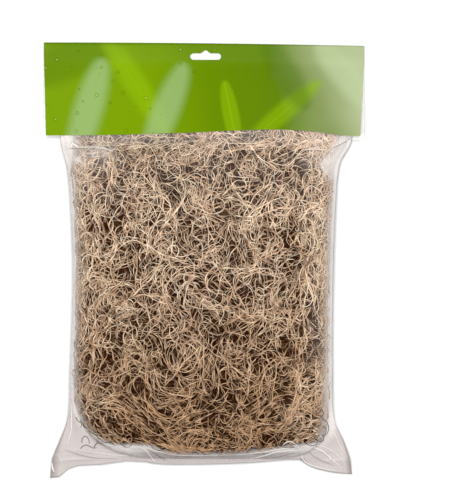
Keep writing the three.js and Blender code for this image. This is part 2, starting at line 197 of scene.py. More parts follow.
def leaf_reach(x):
    """How far below the fold, in plan, the front leaf ends: Pythagoras on its slanted part."""
    return SEAL_ZONE + np.sqrt((CARD_LEAF - SEAL_ZONE) ** 2 - (leaf_lift(x) - FOLD_HEIGHT) ** 2)


def narrowed(x, part):
    """Share of x that a board point keeps: the leaf narrows towards its lower edge as it arches."""
    return 1 - part * np.where(x < 0, LEFT_TUCK, RIGHT_TUCK) / (CARD_WIDTH / 2)


def bent(part):
    """Share of the leaf's rise at a share of its way down. It leaves the flat strip in a soft bend,
    part - b (1 - exp(-part / b)), scaled to come to 1 at the lower edge."""
    curve = part - LEAF_BEND * (1 - np.exp(-part / LEAF_BEND))
    return curve / (1 - LEAF_BEND * (1 - np.exp(-1 / LEAF_BEND)))


def leaf_underside(x, y):
    """Height of the front leaf's underside: flat in the seal zone, then a slope."""
    part = np.maximum(0, (fold_y(x) - y - SEAL_ZONE) / (leaf_reach(x) - SEAL_ZONE))
    board_x = x / narrowed(x, np.minimum(part, 1))
    return FOLD_HEIGHT - BOARD + bent(part) * (leaf_lift(board_x) - FOLD_HEIGHT)


def filling_span(y, inset):
    """Middle of the filling and its reach to the left and to the right: the bag's edges less its
    margins, with superellipse corners towards the bottom weld."""
    above = np.maximum(y, CORNER_START_Y)
    left = through(LEFT_EDGE, above) + SIDE_MARGIN
    right = through(RIGHT_EDGE, above) - SIDE_MARGIN
    down = CORNER_REACH * np.clip((CORNER_START_Y - y) / (CORNER_START_Y - FILL_END_Y), 0, 1)
    half = (right - left) / 2
    to_left = half * (1 - down ** LEFT_CORNER) ** (1 / LEFT_CORNER) - inset
    to_right = half * (1 - down ** RIGHT_CORNER) ** (1 / RIGHT_CORNER) - inset
    return (left + right) / 2, to_left, to_right


def floor_under(y):
    """Height of the filling's underside: on the film, and towards the fold on the back leaf too."""
    on_leaf = smoothstep(y, LEAF_RAMP_Y, FOLD_Y - CARD_LEAF - FOLD_SKEW)
    return FILM + (BOARD + CARD_CLEARANCE) * on_leaf


def pillow_point(turn, y, inset):
    """Point of the pillow's section at y. Over the top, z = crease + room * swell, where swell is
    (1 - |across|^p)^q, or the lid's height where that is lower, eased where the two cross; below, z
    falls from the crease to the floor in the same way. Depth below the film shrinks the room by
    exp(-inset / room), so thin places never turn inside out."""
    middle, to_left, to_right = filling_span(y, inset)
    crease = through(CREASE, y)
    share = np.where(turn <= 0.5, 2 * turn, 2 - 2 * turn)
    across = SECTION_EVENNESS * (1 - 2 * share) + (1 - SECTION_EVENNESS) * np.cos(pi * share)
    swell = np.maximum(0, 1 - np.abs(across) ** SECTION_POWER) ** SECTION_ROUNDING
    x = middle + np.where(across < 0, to_left, to_right) * across
    room = np.maximum(through(CROWN, y) - FILM - crease, 0.01 * MM)
    kept = np.exp(-inset / room)
    own = crease + room * kept * swell
    climb = CLIMB * np.maximum(0, PAST_CARD_Y - y)
    lid = leaf_underside(x, y) + climb - CARD_CLEARANCE - FILM - room * (1 - kept)
    capped = (own + lid - np.hypot(own - lid, BLEND * room)) / 2
    over = np.maximum(capped, crease)
    drop = crease - floor_under(y)
    under = crease - drop * np.exp(-inset / drop) * np.minimum(1, UNDERSIDE_FLATNESS * swell)
    z = np.where(turn <= 0.5, over, under)
    return np.stack(np.broadcast_arrays(x, y, z), -1)


TOP_TURN = np.array(0.25)  # a quarter turn from the right crease is the top of the section
middle_height = pillow_point(TOP_TURN, 0, 0)[2]
print(f"pillow at its middle: {middle_height / MM:.1f} mm high")

# %% [markdown]
# ## Meshes from arrays
# Every surface here is a grid of points worked out as whole arrays. One function closes a grid
# into a mesh: it can join the last column to the first, which makes a tube.

# %% Grid to mesh
def grid_faces(rows, columns, wrap):
    """Quads of a grid whose points run row by row; wrap joins the last column to the first."""
    r = np.arange(rows - 1)[:, None]
    c = np.arange(columns if wrap else columns - 1)[None, :]
    beside = (c + 1) % columns
    corners = (r * columns + c, (r + 1) * columns + c, (r + 1) * columns + beside, r * columns + beside)
    return np.stack(np.broadcast_arrays(*corners), -1).reshape(-1, 4)


def halved(quads):
    """Two triangles for each quad, cut from its first corner to its third."""
    return np.concatenate([quads[:, [0, 1, 2]], quads[:, [0, 2, 3]]])


def new_object(name, points, faces, smooth=True):
    """Puts points and faces of one size straight into a mesh, and links it at the origin."""
    mesh = bpy.data.meshes.new(name)
    count, sides = faces.shape
    mesh.vertices.add(len(points))
    mesh.vertices.foreach_set("co", np.ascontiguousarray(points, np.float32).ravel())
    mesh.loops.add(count * sides)
    mesh.loops.foreach_set("vertex_index", np.ascontiguousarray(faces, np.int32).ravel())
    mesh.polygons.add(count)
    mesh.polygons.foreach_set("loop_start", np.arange(0, count * sides, sides, dtype=np.int32))
    mesh.polygons.foreach_set("use_smooth", np.full(count, smooth))
    mesh.update(calc_edges=True)
    mesh.validate()
    piece = bpy.data.objects.new(name, mesh)
    bpy.context.scene.collection.objects.link(piece)
    return piece


def paint(piece, name, values):
    """Stores one number for each point, for the materials to read."""
    layer = piece.data.attributes.new(name, "FLOAT", "POINT")
    layer.data.foreach_set("value", np.ascontiguousarray(values, np.float32).ravel())


def triangles(piece):
    """Triangles of a piece with its modifiers: two fewer than the corners of each face."""
    evaluated = piece.evaluated_get(bpy.context.evaluated_depsgraph_get())
    return sum(len(face.vertices) - 2 for face in evaluated.data.polygons)


print("quads round a tube of 2 rings of 3 points:", len(grid_faces(2, 3, True)))

# %% [markdown]
# ## The film bag
# The bag is a tube of thin film. Where the moss fills it, it is a taut pillow; outside that its
# front and back lie flat together, as a narrow margin at each side and as two ears at the bottom
# corners. It is built as one skin that runs round each cross-section, and the Solidify modifier
# then gives it its wall, because that keeps the mouth open and the wall even.

# %% Outline of the bottom hem
# (x, y) along the lower edge, from the rounded tip of the left ear to the pointed right one.
HEM = np.array([
    (-155, -211), (-152, -216.5), (-148.5, -218.5), (-144, -216), (-138, -210), (-128, -204.5),
    (-102, -202.5), (-66, -197.8), (-52, -201), (-36, -202.5), (30, -201.5), (78, -197.5),
    (89, -193.8), (102, -203), (114, -207.5), (130, -211), (149, -212.5),
]) * MM
FACE_COLUMNS = 76  # quads across the filling, on each face
MARGIN_COLUMNS = 8
FACE_ROWS = 100
HEM_ROWS = 12
WALL = 0.15 * MM
HEM_GAP = 0.45 * MM  # between the outer faces where front and back are welded
PUFF = 0.5 * MM  # how far stray strands hold each face of a margin off the other next to the moss
HALF_FOOT = 150 * MM  # half the bag's width at its foot
EAR_FLARE = 0.012  # share by which the foot widens on its way to the hem
EAR_SINK = 0.35  # share of its height that it loses there, in the ears


def bag_rows():
    """Stations from the mouth down to the end of the filling, as the power 1.1 of a quarter of a
    sine, so that they close up towards that end, then even shares of the way to the hem."""
    down = np.sin(np.linspace(0, pi / 2, FACE_ROWS + 1)) ** 1.1
    return MOUTH_Y + (FILL_END_Y - MOUTH_Y) * down, np.linspace(0, 1, HEM_ROWS + 1)[1:]


def crumple(x, y):
    """Height of the film's small folds: long shallow ridges everywhere, steeper ones that fan out
    from both bottom corners, and slanting ones below the card's ends. Each kind is its height times
    a mask times ridges of its own cell, seed and sharpness, and all fade out under the card."""
    broad = 0.9 * MM * ridges(x, 0.6 * y, 46 * MM, 11, 3)
    fine = 0.45 * MM * ridges(x + 0.4 * y, y, 17 * MM, 12, 4)
    corner = smoothstep(-y, 120 * MM, 185 * MM) * smoothstep(np.abs(x), 60 * MM, 110 * MM)
    spread = np.arctan2(y + 215 * MM, (HALF_FOOT - np.abs(x)) + 5 * MM)
    fan = 1.3 * MM * corner * ridges(spread * 60 * MM, np.abs(x) * 0.12, 7 * MM, 13, 2)
    neck = smoothstep(y, 70 * MM, 110 * MM) * smoothstep(np.abs(x), 60 * MM, 120 * MM)
    slant = 1.2 * MM * neck * ridges(0.35 * (np.abs(x) - y), np.abs(x) + y, 15 * MM, 14, 3)
    return (broad + fine + fan + slant) * smoothstep(PAST_CARD_Y - y, -1 * MM, 14 * MM)


def film_section(y, shares, over):
    """One face of the film at y, from the left edge to the right one: the margin, the pillow's face
    and the other margin. Margins droop from the crease to the edge."""
    columns = np.linspace(0, 1, FACE_COLUMNS + 1)
    turn = 0.5 - 0.5 * columns if over else 0.5 + 0.5 * columns
    face = pillow_point(turn[None, :], y[:, None], np.zeros((1, 1)))
    middle, to_left, to_right = filling_span(y[:, None], 0)
    aside = face[..., 0] - middle
    face[..., 0] += FILM * aside / np.where(aside < 0, to_left, to_right)
    crease = through(CREASE, y)[:, None]
    sink = EDGE_DROOP * np.maximum(0, crease - EDGE_HEIGHT)
    sides = []
    for edge, inner in ((through(LEFT_EDGE, y), face[:, 0]), (through(RIGHT_EDGE, y), face[:, -1])):
        x = inner[:, :1] + (edge[:, None] - inner[:, :1]) * shares
        puff = (PUFF if over else -PUFF) * (1 - shares) ** 2
        sides.append(np.stack([x, np.broadcast_to(y[:, None], x.shape), crease - sink * shares + puff], -1))
    return np.concatenate([sides[0][:, ::-1], face, sides[1]], axis=1)


def film_skin(over):
    """Rows of one face from the mouth to the hem. Below the filling each column runs straight on to
    the hem, where front and back close up to the weld's thickness."""
    y, hem_shares = bag_rows()
    shares = (np.linspace(0, 1, MARGIN_COLUMNS + 1)[1:] ** 0.75)[None, :]
    body = film_section(y, shares, over)
    push = FILM if over else -FILM
    body[..., 2] += push
    last = body[-1]
    out = np.clip(last[:, 0], HEM[0, 0], HEM[-1, 0])
    hem_y = through(HEM, out)
    rows = []
    for share in hem_shares:
        y_here = last[:, 1] + (hem_y - last[:, 1]) * share
        x_here = last[:, 0] * (1 + EAR_FLARE * share * np.abs(last[:, 0]) / HALF_FOOT)
        sunk = EAR_SINK * share * smoothstep(np.abs(out), HALF_FOOT / 2, HALF_FOOT)
        middle_z = through(CREASE, y_here) * (1 - sunk)
        half_gap = FILM + (HEM_GAP / 2 - FILM) * smoothstep(share, 0, 0.5)
        z_here = np.maximum(middle_z, FILM) + np.sign(push) * half_gap
        rows.append(np.stack([x_here, y_here, z_here], -1))
    return np.concatenate([body, np.stack(rows)], axis=0)


def bag_film():
    """Front and back skin, joined at both edges and along the hem into one bag with an open mouth.
    Folds stand at their full height on the filling and at about a third of it in the margins."""
    front, back = film_skin(True), film_skin(False)
    lift = crumple(front[..., 0], front[..., 1])
    filled = smoothstep(front[..., 2], 3 * MM, 12 * MM)
    front[..., 2] += lift * (0.35 + 0.65 * filled)
    rows, columns = front.shape[:2]
    ring = np.concatenate([front, back[:, ::-1]], axis=1)
    faces = grid_faces(rows, 2 * columns, True)
    start = (rows - 1) * 2 * columns
    c = np.arange(columns - 1)
    hem = np.stack([start + c, start + c + 1, start + 2 * columns - 2 - c, start + 2 * columns - 1 - c], -1)
    piece = new_object("bag_film_skin", ring.reshape(-1, 3), np.concatenate([faces, hem[:, ::-1]]))
    return piece, ring


film, film_ring = bag_film()
solidify = film.modifiers.new("wall", "SOLIDIFY")
solidify.thickness = WALL
solidify.offset = -1
print("film:", triangles(film), "triangles")

# %% [markdown]
# Film is clearest where it lies on the moss and milky where it stands off, is doubled or creased.
# Light that comes through the tangle's side brightens it next to the moss, and its welded foot and
# cut edges look duller. That makes two numbers for each point: its haze and its tone.

# %% Haze and tone of the film
# painted shade along the film's outline
EDGE_SHADE = 0.1


def neck_patch(x, y):
    """1 where slack film stands off the moss, below both ends of the card, and 0 elsewhere."""
    # At the left a patch in the margin, with a milky tongue that reaches over the moss.
    tongue = smoothstep(y, 98 * MM, 108 * MM) * smoothstep(116 * MM - y, 0, 6 * MM)
    left = smoothstep(-x, 116 * MM, 130 * MM) * smoothstep(y, 92 * MM, 102 * MM)
    left = np.maximum(left, 0.45 * tongue * smoothstep(-x, 84 * MM, 112 * MM))
    # At the right a patch whose inner edge is a wedge that points at the moss, at y = 98 mm.
    across = x - np.maximum(0.75 * (y - 98 * MM), -0.64 * (y - 98 * MM))
    right = smoothstep(across, 112 * MM, 118 * MM) * smoothstep(y, 78 * MM, 88 * MM)
    return np.maximum(left, right)


def below_card(y):
    """1 where the film comes out from under the card, loose and bright, and 0 from 8 mm below it."""
    return smoothstep(y, 113 * MM, 121 * MM)


def film_haze(x, y):
    """Share of light each face of the film scatters: next to none where it lies on the moss, much
    more in the margins and ears, some below the card, where it is slack, and a little on ridges.
    Also how far inside the filling's outline each point is."""
    middle, to_left, to_right = filling_span(np.clip(y, FILL_END_Y, MOUTH_Y), 0)
    inside = np.where(x < middle, to_left, to_right) - np.abs(x - middle)
    # Where a point is: in a margin, beyond the filling's end, up where the film is slack.
    margin = 1 - smoothstep(inside, -2 * MM, 5 * MM)
    beyond = smoothstep(FILL_END_Y + 9 * MM - y, 0, 7 * MM)
    slack = smoothstep(y, 40 * MM, 120 * MM)
    cloudy = lattice_noise(x, 1.5 * y, 30 * MM, 21) * lattice_noise(x + y, y, 11 * MM, 22)
    # On the moss: at both sides of the slack end, along the outline and in a veil at the right.
    side = smoothstep(-x, 60 * MM, 125 * MM) * slack + smoothstep(x, 85 * MM, 130 * MM) * slack
    edge = 1 - smoothstep(inside, 2 * MM, 16 * MM)
    veil = smoothstep(x, 92 * MM, 118 * MM) * smoothstep(y, -150 * MM, -90 * MM)
    over_moss = 0.0005 + 0.003 * smoothstep(y, 30 * MM, 90 * MM) + 0.11 * side * cloudy + 0.018 * edge
    over_moss += (0.012 * slack + 0.022 * veil) * (0.3 + cloudy)
    over_moss += 0.30 * neck_patch(x, y) * (0.35 + cloudy) + 0.035 * below_card(y)
    # The film's steep flank beside the margin, where one looks through more of it.
    flank = smoothstep(inside, -3 * MM, 1 * MM) * (1 - smoothstep(inside, 1 * MM, 9 * MM))
    flank *= 0.7 + 0.6 * lattice_noise(x, y, 9 * MM, 24)
    over_moss += flank * (0.03 + np.where(x < 0, 0.07, 0.16) * smoothstep(-y, 80 * MM, 140 * MM))
    # Off the moss: below its lower end, beyond the filling, on ridges and where the margins are welded.
    below = smoothstep(through(MOSS_FOOT, x) - y, -3 * MM, 3 * MM)
    standing = np.maximum(0.30 * beyond, 0.42 * below * (1 - beyond))
    creased = (0.001 + 0.003 * smoothstep(y, -120 * MM, 40 * MM)) * crumple(x, y) / (2.2 * MM)
    welded = 0.26 + 0.16 * smoothstep(x, 100 * MM, 120 * MM) * smoothstep(y, -165 * MM, -140 * MM)
    haze = over_moss + creased + np.maximum(welded * margin, standing)
    return np.clip(haze, 0.0005, 0.75), inside


def film_painted_light(ring, inside):
    """Painted light and shade of the film: 0 is painted shade, a half is plain and 1 is painted light.
    Painted light beside the moss and round its lower corners, in the neck and below the card; painted
    shade along the foot's middle and along the film's outline."""
    x, y = ring[..., 0], ring[..., 1]
    reach = np.where(x > 0, -12, -6) * MM
    beside = smoothstep(y, -190 * MM, -150 * MM) * smoothstep(inside - reach, 0, 6 * MM)
    foot = (1 - smoothstep(y, FILL_END_Y - 1 * MM, FILL_END_Y + 5 * MM)) * (
        1 - smoothstep(np.abs(x - 6 * MM), 60 * MM, 105 * MM)
    )
    corner = smoothstep(through(MOSS_FOOT, x) - y, -4 * MM, 1 * MM) * smoothstep(inside, -2 * MM, 3 * MM)
    corner *= smoothstep(y, FILL_END_Y + 2 * MM, FILL_END_Y + 9 * MM)
    bright = np.maximum(np.maximum(beside, corner), np.maximum(neck_patch(x, y), below_card(y)))
    # painted light where bright, painted shade along the middle of the foot
    tone = 0.5 + 0.4 * bright - 0.08 * foot
    tone += 0.12 * (lattice_noise(x, y, 13 * MM, 23) - 0.5)
    columns = ring.shape[1] // 2
    tone[:, [0, columns - 1, columns, 2 * columns - 1]] = EDGE_SHADE
    tone[-1] = EDGE_SHADE
    return np.clip(tone, 0, 1)


haze, inside = film_haze(film_ring[..., 0], film_ring[..., 1])
paint(film, "haze", haze)
paint(film, "tone", film_painted_light(film_ring, inside))
print(f"film haze from {haze.min():.3f} to {haze.max():.3f}")

# %% [markdown]
# ## Pleats of the film
# Where slack film folds over itself it makes a sharp whitened line, which a painted highlight makes
# bright or painted shade makes dark. Each one is a thin pleat that lies on the skin, a lens-shaped
# sliver carried along a smooth line. Drawn as geometry, it stays crisp at any size, which a pattern
# on the coarse skin would not.

# %% Pleats
PLEAT_STEPS = 24
PLEAT_RISE = 0.28  # height over half width
PLEAT_LIFT = 0.25 * MM  # of its middle line over the skin
# (x, y) of three or more points in mm, half width in mm, opacity and tone of each pleat. A tone of 1
# is a painted highlight and a tone near 0 painted shade.
PLEATS = [
    # the weld under the moss, from the left ear to the gather at the right one
    ([(-108, -180), (-88, -184.5), (-60, -185.5), (-33, -192.5), (0, -193.5), (40, -192.5)], 0.5, 0.3, 1.0),
    ([(30, -193), (57, -190.5), (80, -186.5), (92, -184.5)], 0.5, 0.4, 1.0),
    # the fold left of the middle of the foot
    ([(-62, -185.5), (-57, -190), (-52, -197), (-49, -200.5)], 1.3, 0.35, 1.0),
    ([(-57, -187), (-50, -191), (-44, -195), (-38, -199)], 0.8, 0.28, 0.1),
    # left ear
    ([(-133, -140), (-132.5, -155), (-133, -170), (-137, -183)], 0.7, 0.4, 1.0),
    ([(-122, -189), (-105, -191.5), (-88, -193.5), (-70, -194)], 0.5, 0.3, 1.0),
    ([(-139, -188), (-125, -193), (-108, -196.5), (-86, -197)], 0.45, 0.3, 0.1),
    ([(-152, -201), (-151.5, -206), (-149.5, -211)], 0.9, 0.6, 1.0),
    ([(-147, -191), (-143, -199), (-140.5, -206)], 0.8, 0.25, 1.0),
    # the gather at the right ear, and its fan of ribs
    ([(92, -182.5), (95, -187), (97.5, -193), (99, -198)], 0.8, 0.4, 1.0),
    ([(78, -183.5), (82, -180.5), (86, -179.5), (93, -183)], 0.6, 0.5, 1.0),
    ([(79, -185.5), (85, -184.5), (91, -185.5)], 1.3, 0.8, 0.0),
    ([(46, -197), (60, -194), (74, -190), (92, -188.5)], 0.8, 0.4, 1.0),
    ([(58, -198), (74, -195.5), (84, -192.5), (93, -191)], 0.5, 0.35, 0.1),
    ([(98, -187), (97.5, -194), (102, -201), (116, -206.5), (134, -209.5)], 0.6, 0.4, 1.0),
    ([(97, -185), (108, -185.5), (119, -190), (129, -199), (138, -207)], 1.1, 0.35, 1.0),
    ([(99, -184), (112, -183), (126, -188), (136, -196), (143, -206)], 0.6, 0.3, 1.0),
    ([(104, -189), (110, -195), (120, -200), (130, -204)], 0.5, 0.25, 0.1),
    ([(129, -165), (131, -172), (135, -182), (141, -192)], 0.6, 0.35, 1.0),
    # painted glints at the moss's lower right corner
    ([(109, -168), (110.2, -169), (111.6, -169.6)], 0.6, 0.8, 1.0),
    ([(112, -171.6), (112.8, -172.6), (113.8, -173)], 0.6, 0.8, 1.0),
    ([(116.4, -173.6), (117, -174.6), (117.2, -175.8)], 0.6, 0.8, 1.0),
    # the neck, below both ends of the card
    ([(-132, 120), (-129.5, 117), (-124, 114)], 1.2, 0.55, 1.0),
    ([(-134, 113.5), (-132, 116.5), (-131, 119.5)], 0.7, 0.5, 1.0),
    ([(-135, 112.8), (-127, 112.6), (-119, 112.4)], 0.35, 0.6, 0.0),
    ([(-129, 113.6), (-114, 114.4), (-100, 113), (-90, 109.5)], 1.5, 0.22, 1.0),
    ([(-135, 96), (-131.5, 88), (-129, 76), (-129, 62)], 0.5, 0.3, 1.0),
    ([(148.5, 125), (141, 120.5), (134, 117), (127, 114)], 0.5, 0.6, 1.0),
    ([(148, 123.6), (140.5, 119), (133.5, 115.5), (127, 112.8)], 0.35, 0.45, 0.1),
    ([(128, 113), (122, 106), (115, 98)], 0.4, 0.35, 0.0),
    ([(116.5, 98), (120.5, 91), (126, 83)], 0.55, 0.45, 1.0),
    ([(128, 112), (129.5, 105), (128.5, 97)], 0.5, 0.35, 1.0),
    ([(101, 111.4), (112, 112), (122, 111)], 0.6, 0.35, 1.0),
    ([(-130, 30), (-128, 0), (-129, -40), (-130, -80)], 0.5, 0.3, 1.0),
    ([(125, -20), (124, -60), (125, -100), (126, -130)], 0.5, 0.35, 1.0),
]


def film_height(points):
    """Height of the film's front at each (x, y): where a ray dropped from 200 mm up meets it, and
    2 mm for a point beside the film."""
    down = (0, 0, -1)
    hits = [film.ray_cast((x, y, 200 * MM), down) for x, y in points]
    return np.array([place[2] if found else 2 * MM for found, place, _, _ in hits])


def smooth_line(keys, share):
    """(x, y) at shares of the way along a list of places in mm: a smooth curve for each of the two."""
    place = np.linspace(0, 1, len(keys))
    return np.stack([through(np.column_stack([place, along]), share) for along in np.array(keys).T * MM], -1)


def film_pleats():
    """Slivers with a rhombic section, whose width at share t of their length is 0.1 + 0.9
    sin(pi t)^0.6 of their full width."""
    points, faces, opacity, tone = [], [], [], []
    last = 4 * PLEAT_STEPS
    ends = [(0, 1, 2), (0, 2, 3), (last + 2, last + 1, last), (last + 3, last + 2, last)]
    body = np.concatenate([halved(grid_faces(PLEAT_STEPS + 1, 4, True)), ends])[:, ::-1]
    share = np.linspace(0, 1, PLEAT_STEPS + 1)
    for keys, half_width, solid, own_tone in PLEATS:
        line = smooth_line(keys, share)
        ahead = np.gradient(line, axis=0)
        side = np.stack([-ahead[:, 1], ahead[:, 0]], -1) / np.linalg.norm(ahead, axis=1, keepdims=True)
        width = half_width * MM * (0.1 + 0.9 * np.sin(pi * share) ** 0.6)
        for aside, rise in ((-1, 0), (0, -PLEAT_RISE), (1, 0), (0, PLEAT_RISE)):
            across = line + side * (aside * width)[:, None]
            points.append(np.column_stack([across, film_height(across) + rise * width + PLEAT_LIFT]))
        faces.append(body + len(opacity) * (PLEAT_STEPS + 1) * 4)
        opacity.append(solid)
        tone.append(own_tone)
    rings = np.array(points).reshape(len(PLEATS), 4, PLEAT_STEPS + 1, 3).transpose(0, 2, 1, 3)
    piece = new_object("bag_film_pleats", rings.reshape(-1, 3), np.concatenate(faces))
    paint(piece, "haze", np.repeat(opacity, 4 * (PLEAT_STEPS + 1)))
    paint(piece, "tone", np.repeat(tone, 4 * (PLEAT_STEPS + 1)))
    return piece


pleats = film_pleats()
print("pleats:", len(PLEATS), "with", triangles(pleats), "triangles")

# %% [markdown]
# ## The header card
# The card is one printed board, folded over the bag's mouth. Its section is a path: along the back
# leaf, round the fold and down the front leaf, which the moss arches up. Carried across the width
# that path gives both faces of the board. A Boolean cuts the hang slot through both leaves.

# %% Folded board
CARD_COLUMNS = 72
BACK_STEPS = 16
FOLD_STEPS = 12
FLAT_STEPS = 6
FRONT_STEPS = 31
LEAF_WAVE = 0.5 * MM  # how much the front leaf undulates at its lower edge
SLOT_END_POINTS = 17
SLOT_PEAK_POINTS = 25


def board_rows(x, inset):
    """One face of the board as rows of points across its width: a straight back leaf at z = inset,
    a half circle round the fold, a flat seal zone and a slope to the lifted lower edge."""
    radius = FOLD_HEIGHT / 2
    reach = radius - inset
    fold = fold_y(x) - radius
    rows = []
    for part in np.linspace(0, 1, BACK_STEPS, endpoint=False):
        rows.append((x, fold_y(x) - CARD_LEAF + part * (fold - fold_y(x) + CARD_LEAF), 0 * x + inset))
    for turn in np.linspace(-pi / 2, pi / 2, FOLD_STEPS + 1):
        rows.append((x, fold + reach * cos(turn), 0 * x + radius + reach * sin(turn)))
    front = FOLD_HEIGHT - inset
    for part in np.linspace(0, 1, FLAT_STEPS + 1)[1:]:
        rows.append((x, fold + part * (fold_y(x) - SEAL_ZONE - fold), 0 * x + front))
    for part in np.linspace(0, 1, FRONT_STEPS + 1)[1:]:
        y = fold_y(x) - SEAL_ZONE - part * (leaf_reach(x) - SEAL_ZONE)
        wave = LEAF_WAVE * part * lattice_noise(x, y, 55 * MM, 31)
        rows.append((x * narrowed(x, part), y, front + bent(part) * (leaf_lift(x) - FOLD_HEIGHT) + wave))
    return np.array(rows).transpose(0, 2, 1)


def slot_outline():
    """The slot's plan: a bar with round ends and, on its upper side, a low peak with a cosine flank."""
    half, reach = SLOT_BAR / 2, SLOT_WIDTH / 2 - SLOT_BAR / 2
    turn = np.linspace(-pi / 2, pi / 2, SLOT_END_POINTS)
    right = np.stack([reach + half * np.cos(turn), half * np.sin(turn)], -1)
    across = np.linspace(SLOT_PEAK_WIDTH / 2, -SLOT_PEAK_WIDTH / 2, SLOT_PEAK_POINTS)
    peak = np.stack([across, half + SLOT_PEAK * np.cos(pi * across / SLOT_PEAK_WIDTH) ** 2], -1)
    return np.concatenate([right, peak, -right])


def slot_cutter():
    """The outline as a plug that reaches through both leaves."""
    outline = slot_outline() + (SLOT_X, fold_y(SLOT_X) - SLOT_BELOW_FOLD)
    count = len(outline)
    low = np.column_stack([outline, np.full(count, -FOLD_HEIGHT)])
    high = np.column_stack([outline, np.full(count, 2 * FOLD_HEIGHT)])
    sides = [(k, (k + 1) % count, count + (k + 1) % count, count + k) for k in range(count)]
    mesh = bpy.data.meshes.new("slot_cutter")
    caps = [tuple(range(count - 1, -1, -1)), tuple(range(count, 2 * count))]
    mesh.from_pydata(np.concatenate([low, high]).tolist(), [], sides + caps)
    cutter = bpy.data.objects.new("slot_cutter", mesh)
    bpy.context.scene.collection.objects.link(cutter)
    return cutter


def header_card():
    """Outer and inner face, joined round their border, with printed faces in material 0 and bare
    board in material 1. The slot is cut once the materials are there, so that its walls are bare."""
    x = np.linspace(-CARD_WIDTH / 2, CARD_WIDTH / 2, CARD_COLUMNS + 1)
    outer, inner = board_rows(x, 0.0), board_rows(x, BOARD)
    rows, columns = outer.shape[:2]
    below = rows * columns
    printed = grid_faces(rows, columns, False)[:, ::-1]
    bare = grid_faces(rows, columns, False) + below
    left = np.arange(rows - 1) * columns
    right = left + columns - 1
    first = np.arange(columns - 1)
    last = first + (rows - 1) * columns
    rims = [
        np.stack([left, left + columns, below + left + columns, below + left], -1),
        np.stack([right, below + right, below + right + columns, right + columns], -1),
        np.stack([first, below + first, below + first + 1, first + 1], -1),
        np.stack([last, last + 1, below + last + 1, below + last], -1),
    ]
    faces = np.concatenate([printed, bare, *rims])
    card = new_object("header_card_printed", np.concatenate([outer, inner]).reshape(-1, 3), faces)
    kind = np.ones(len(faces), np.int32)
    kind[: len(printed)] = 0
    card.data.polygons.foreach_set("material_index", kind)
    return card


card = header_card()
print("card:", triangles(card), "triangles")

# %% [markdown]
# ## Laying a flat drawing on the pillow
# Moss strands curl along the film, so each is drawn on a flat sheet first, where a curl is just a
# changing heading. The sheet is then laid on the pillow: one way runs round the girth, the other
# down the length, and both are measured along the surface, so a curl stays round wherever it lands.

# %% The sheet
GIRTH = 600 * MM
SHEET_ROWS = 160
SHEET_COLUMNS = 240
SECTION_SAMPLES = 600
SHEET_DEPTH = 4 * MM  # below the film, where the sheet's lengths are measured
FOOT_RAGGED = 8 * MM  # how much the moss's lower end wanders up and down

sheet_y = np.linspace(MOSS_TOP_Y, FILL_END_Y + MOSS_END_GAP, SHEET_ROWS)
sheet_turn = np.linspace(0, 1, SECTION_SAMPLES)
section_points = pillow_point(sheet_turn[None, :], sheet_y[:, None], np.full((1, 1), SHEET_DEPTH))
steps = np.linalg.norm(np.diff(section_points, axis=1), axis=-1)
travelled = np.concatenate([np.zeros((SHEET_ROWS, 1)), np.cumsum(steps, axis=1)], axis=1)
travelled /= travelled[:, -1:]
even = np.linspace(0, 1, SHEET_COLUMNS)
turn_table = np.array([np.interp(even, row, sheet_turn) for row in travelled])
crown_line = pillow_point(TOP_TURN, sheet_y, SHEET_DEPTH)
down_line = np.concatenate([[0], np.cumsum(np.linalg.norm(np.diff(crown_line, axis=0), axis=-1))])
SHEET_LENGTH = down_line[-1]
NEAR_FOOT = 0.94 * SHEET_LENGTH  # where the way down to the moss's lower end is looked up


def bilinear(table, row, column):
    """Value of a table at fractional rows and columns, from the four entries round them."""
    r = np.clip(row, 0, table.shape[0] - 1.001)
    c = np.clip(column, 0, table.shape[1] - 1.001)
    i, j = r.astype(int), c.astype(int)
    s, t = r - i, c - j
    low = table[i, j] * (1 - t) + table[i, j + 1] * t
    high = table[i + 1, j] * (1 - t) + table[i + 1, j + 1] * t
    return low * (1 - s) + high * s


def folded_back(value, low, high):
    """What runs past either end turns back by as much, as a strand does at the end of the bag."""
    value = low + np.abs(value - low)
    return np.clip(high - np.abs(high - value), low, high)


def spot(around, reach):
    """Turn and y of the pillow at sheet coordinates."""
    row = np.interp(reach, down_line, np.arange(SHEET_ROWS))
    turn = bilinear(turn_table, row, (around / GIRTH % 1) * (SHEET_COLUMNS - 1))
    return turn, np.interp(row, np.arange(SHEET_ROWS), sheet_y)


def sheet_end(around, down, depth):
    """How far down the sheet the moss reaches on the line through a point."""
    turn, y = spot(around, folded_back(down, 0.5 * depth, SHEET_LENGTH - depth))
    foot = through(MOSS_FOOT, pillow_point(turn, y, depth)[..., 0])
    foot += FOOT_RAGGED * (lattice_noise(around, np.zeros_like(down), 8 * MM, 44) - 0.6)
    foot += 0.5 * FOOT_RAGGED * (lattice_noise(around, down, 3 * MM, 47) - 0.6)
    return np.minimum(np.interp(-foot, -sheet_y, down_line), SHEET_LENGTH - depth)


def lay(around, down, depth):
    """Points of the pillow under sheet coordinates, and the direction out of its surface, which is
    the way back from a millimetre further in, nudged up or down where the pillow has no thickness.
    A strand that would run past the foot of the moss turns back there."""
    turn, y = spot(around, folded_back(down, 0.5 * depth, sheet_end(around, down, depth)))
    ragged = lattice_noise(around, down, 13 * MM, 42) * lattice_noise(around, down, 5 * MM, 43)
    slack = SIDE_SLACK * (ragged - 0.45) + NECK_SLACK * smoothstep(y, 88 * MM, 116 * MM)
    depth = depth + slack * np.abs(np.cos(2 * pi * turn)) ** 6
    points = pillow_point(turn, y, depth)
    outward = points - pillow_point(turn, y, depth + 1 * MM)
    outward[..., 2] += np.where(turn <= 0.5, 0.05 * MM, -0.05 * MM)
    return points, outward / np.linalg.norm(outward, axis=-1, keepdims=True)


print(f"sheet: {GIRTH:.3f} m round, {SHEET_LENGTH:.3f} m long")

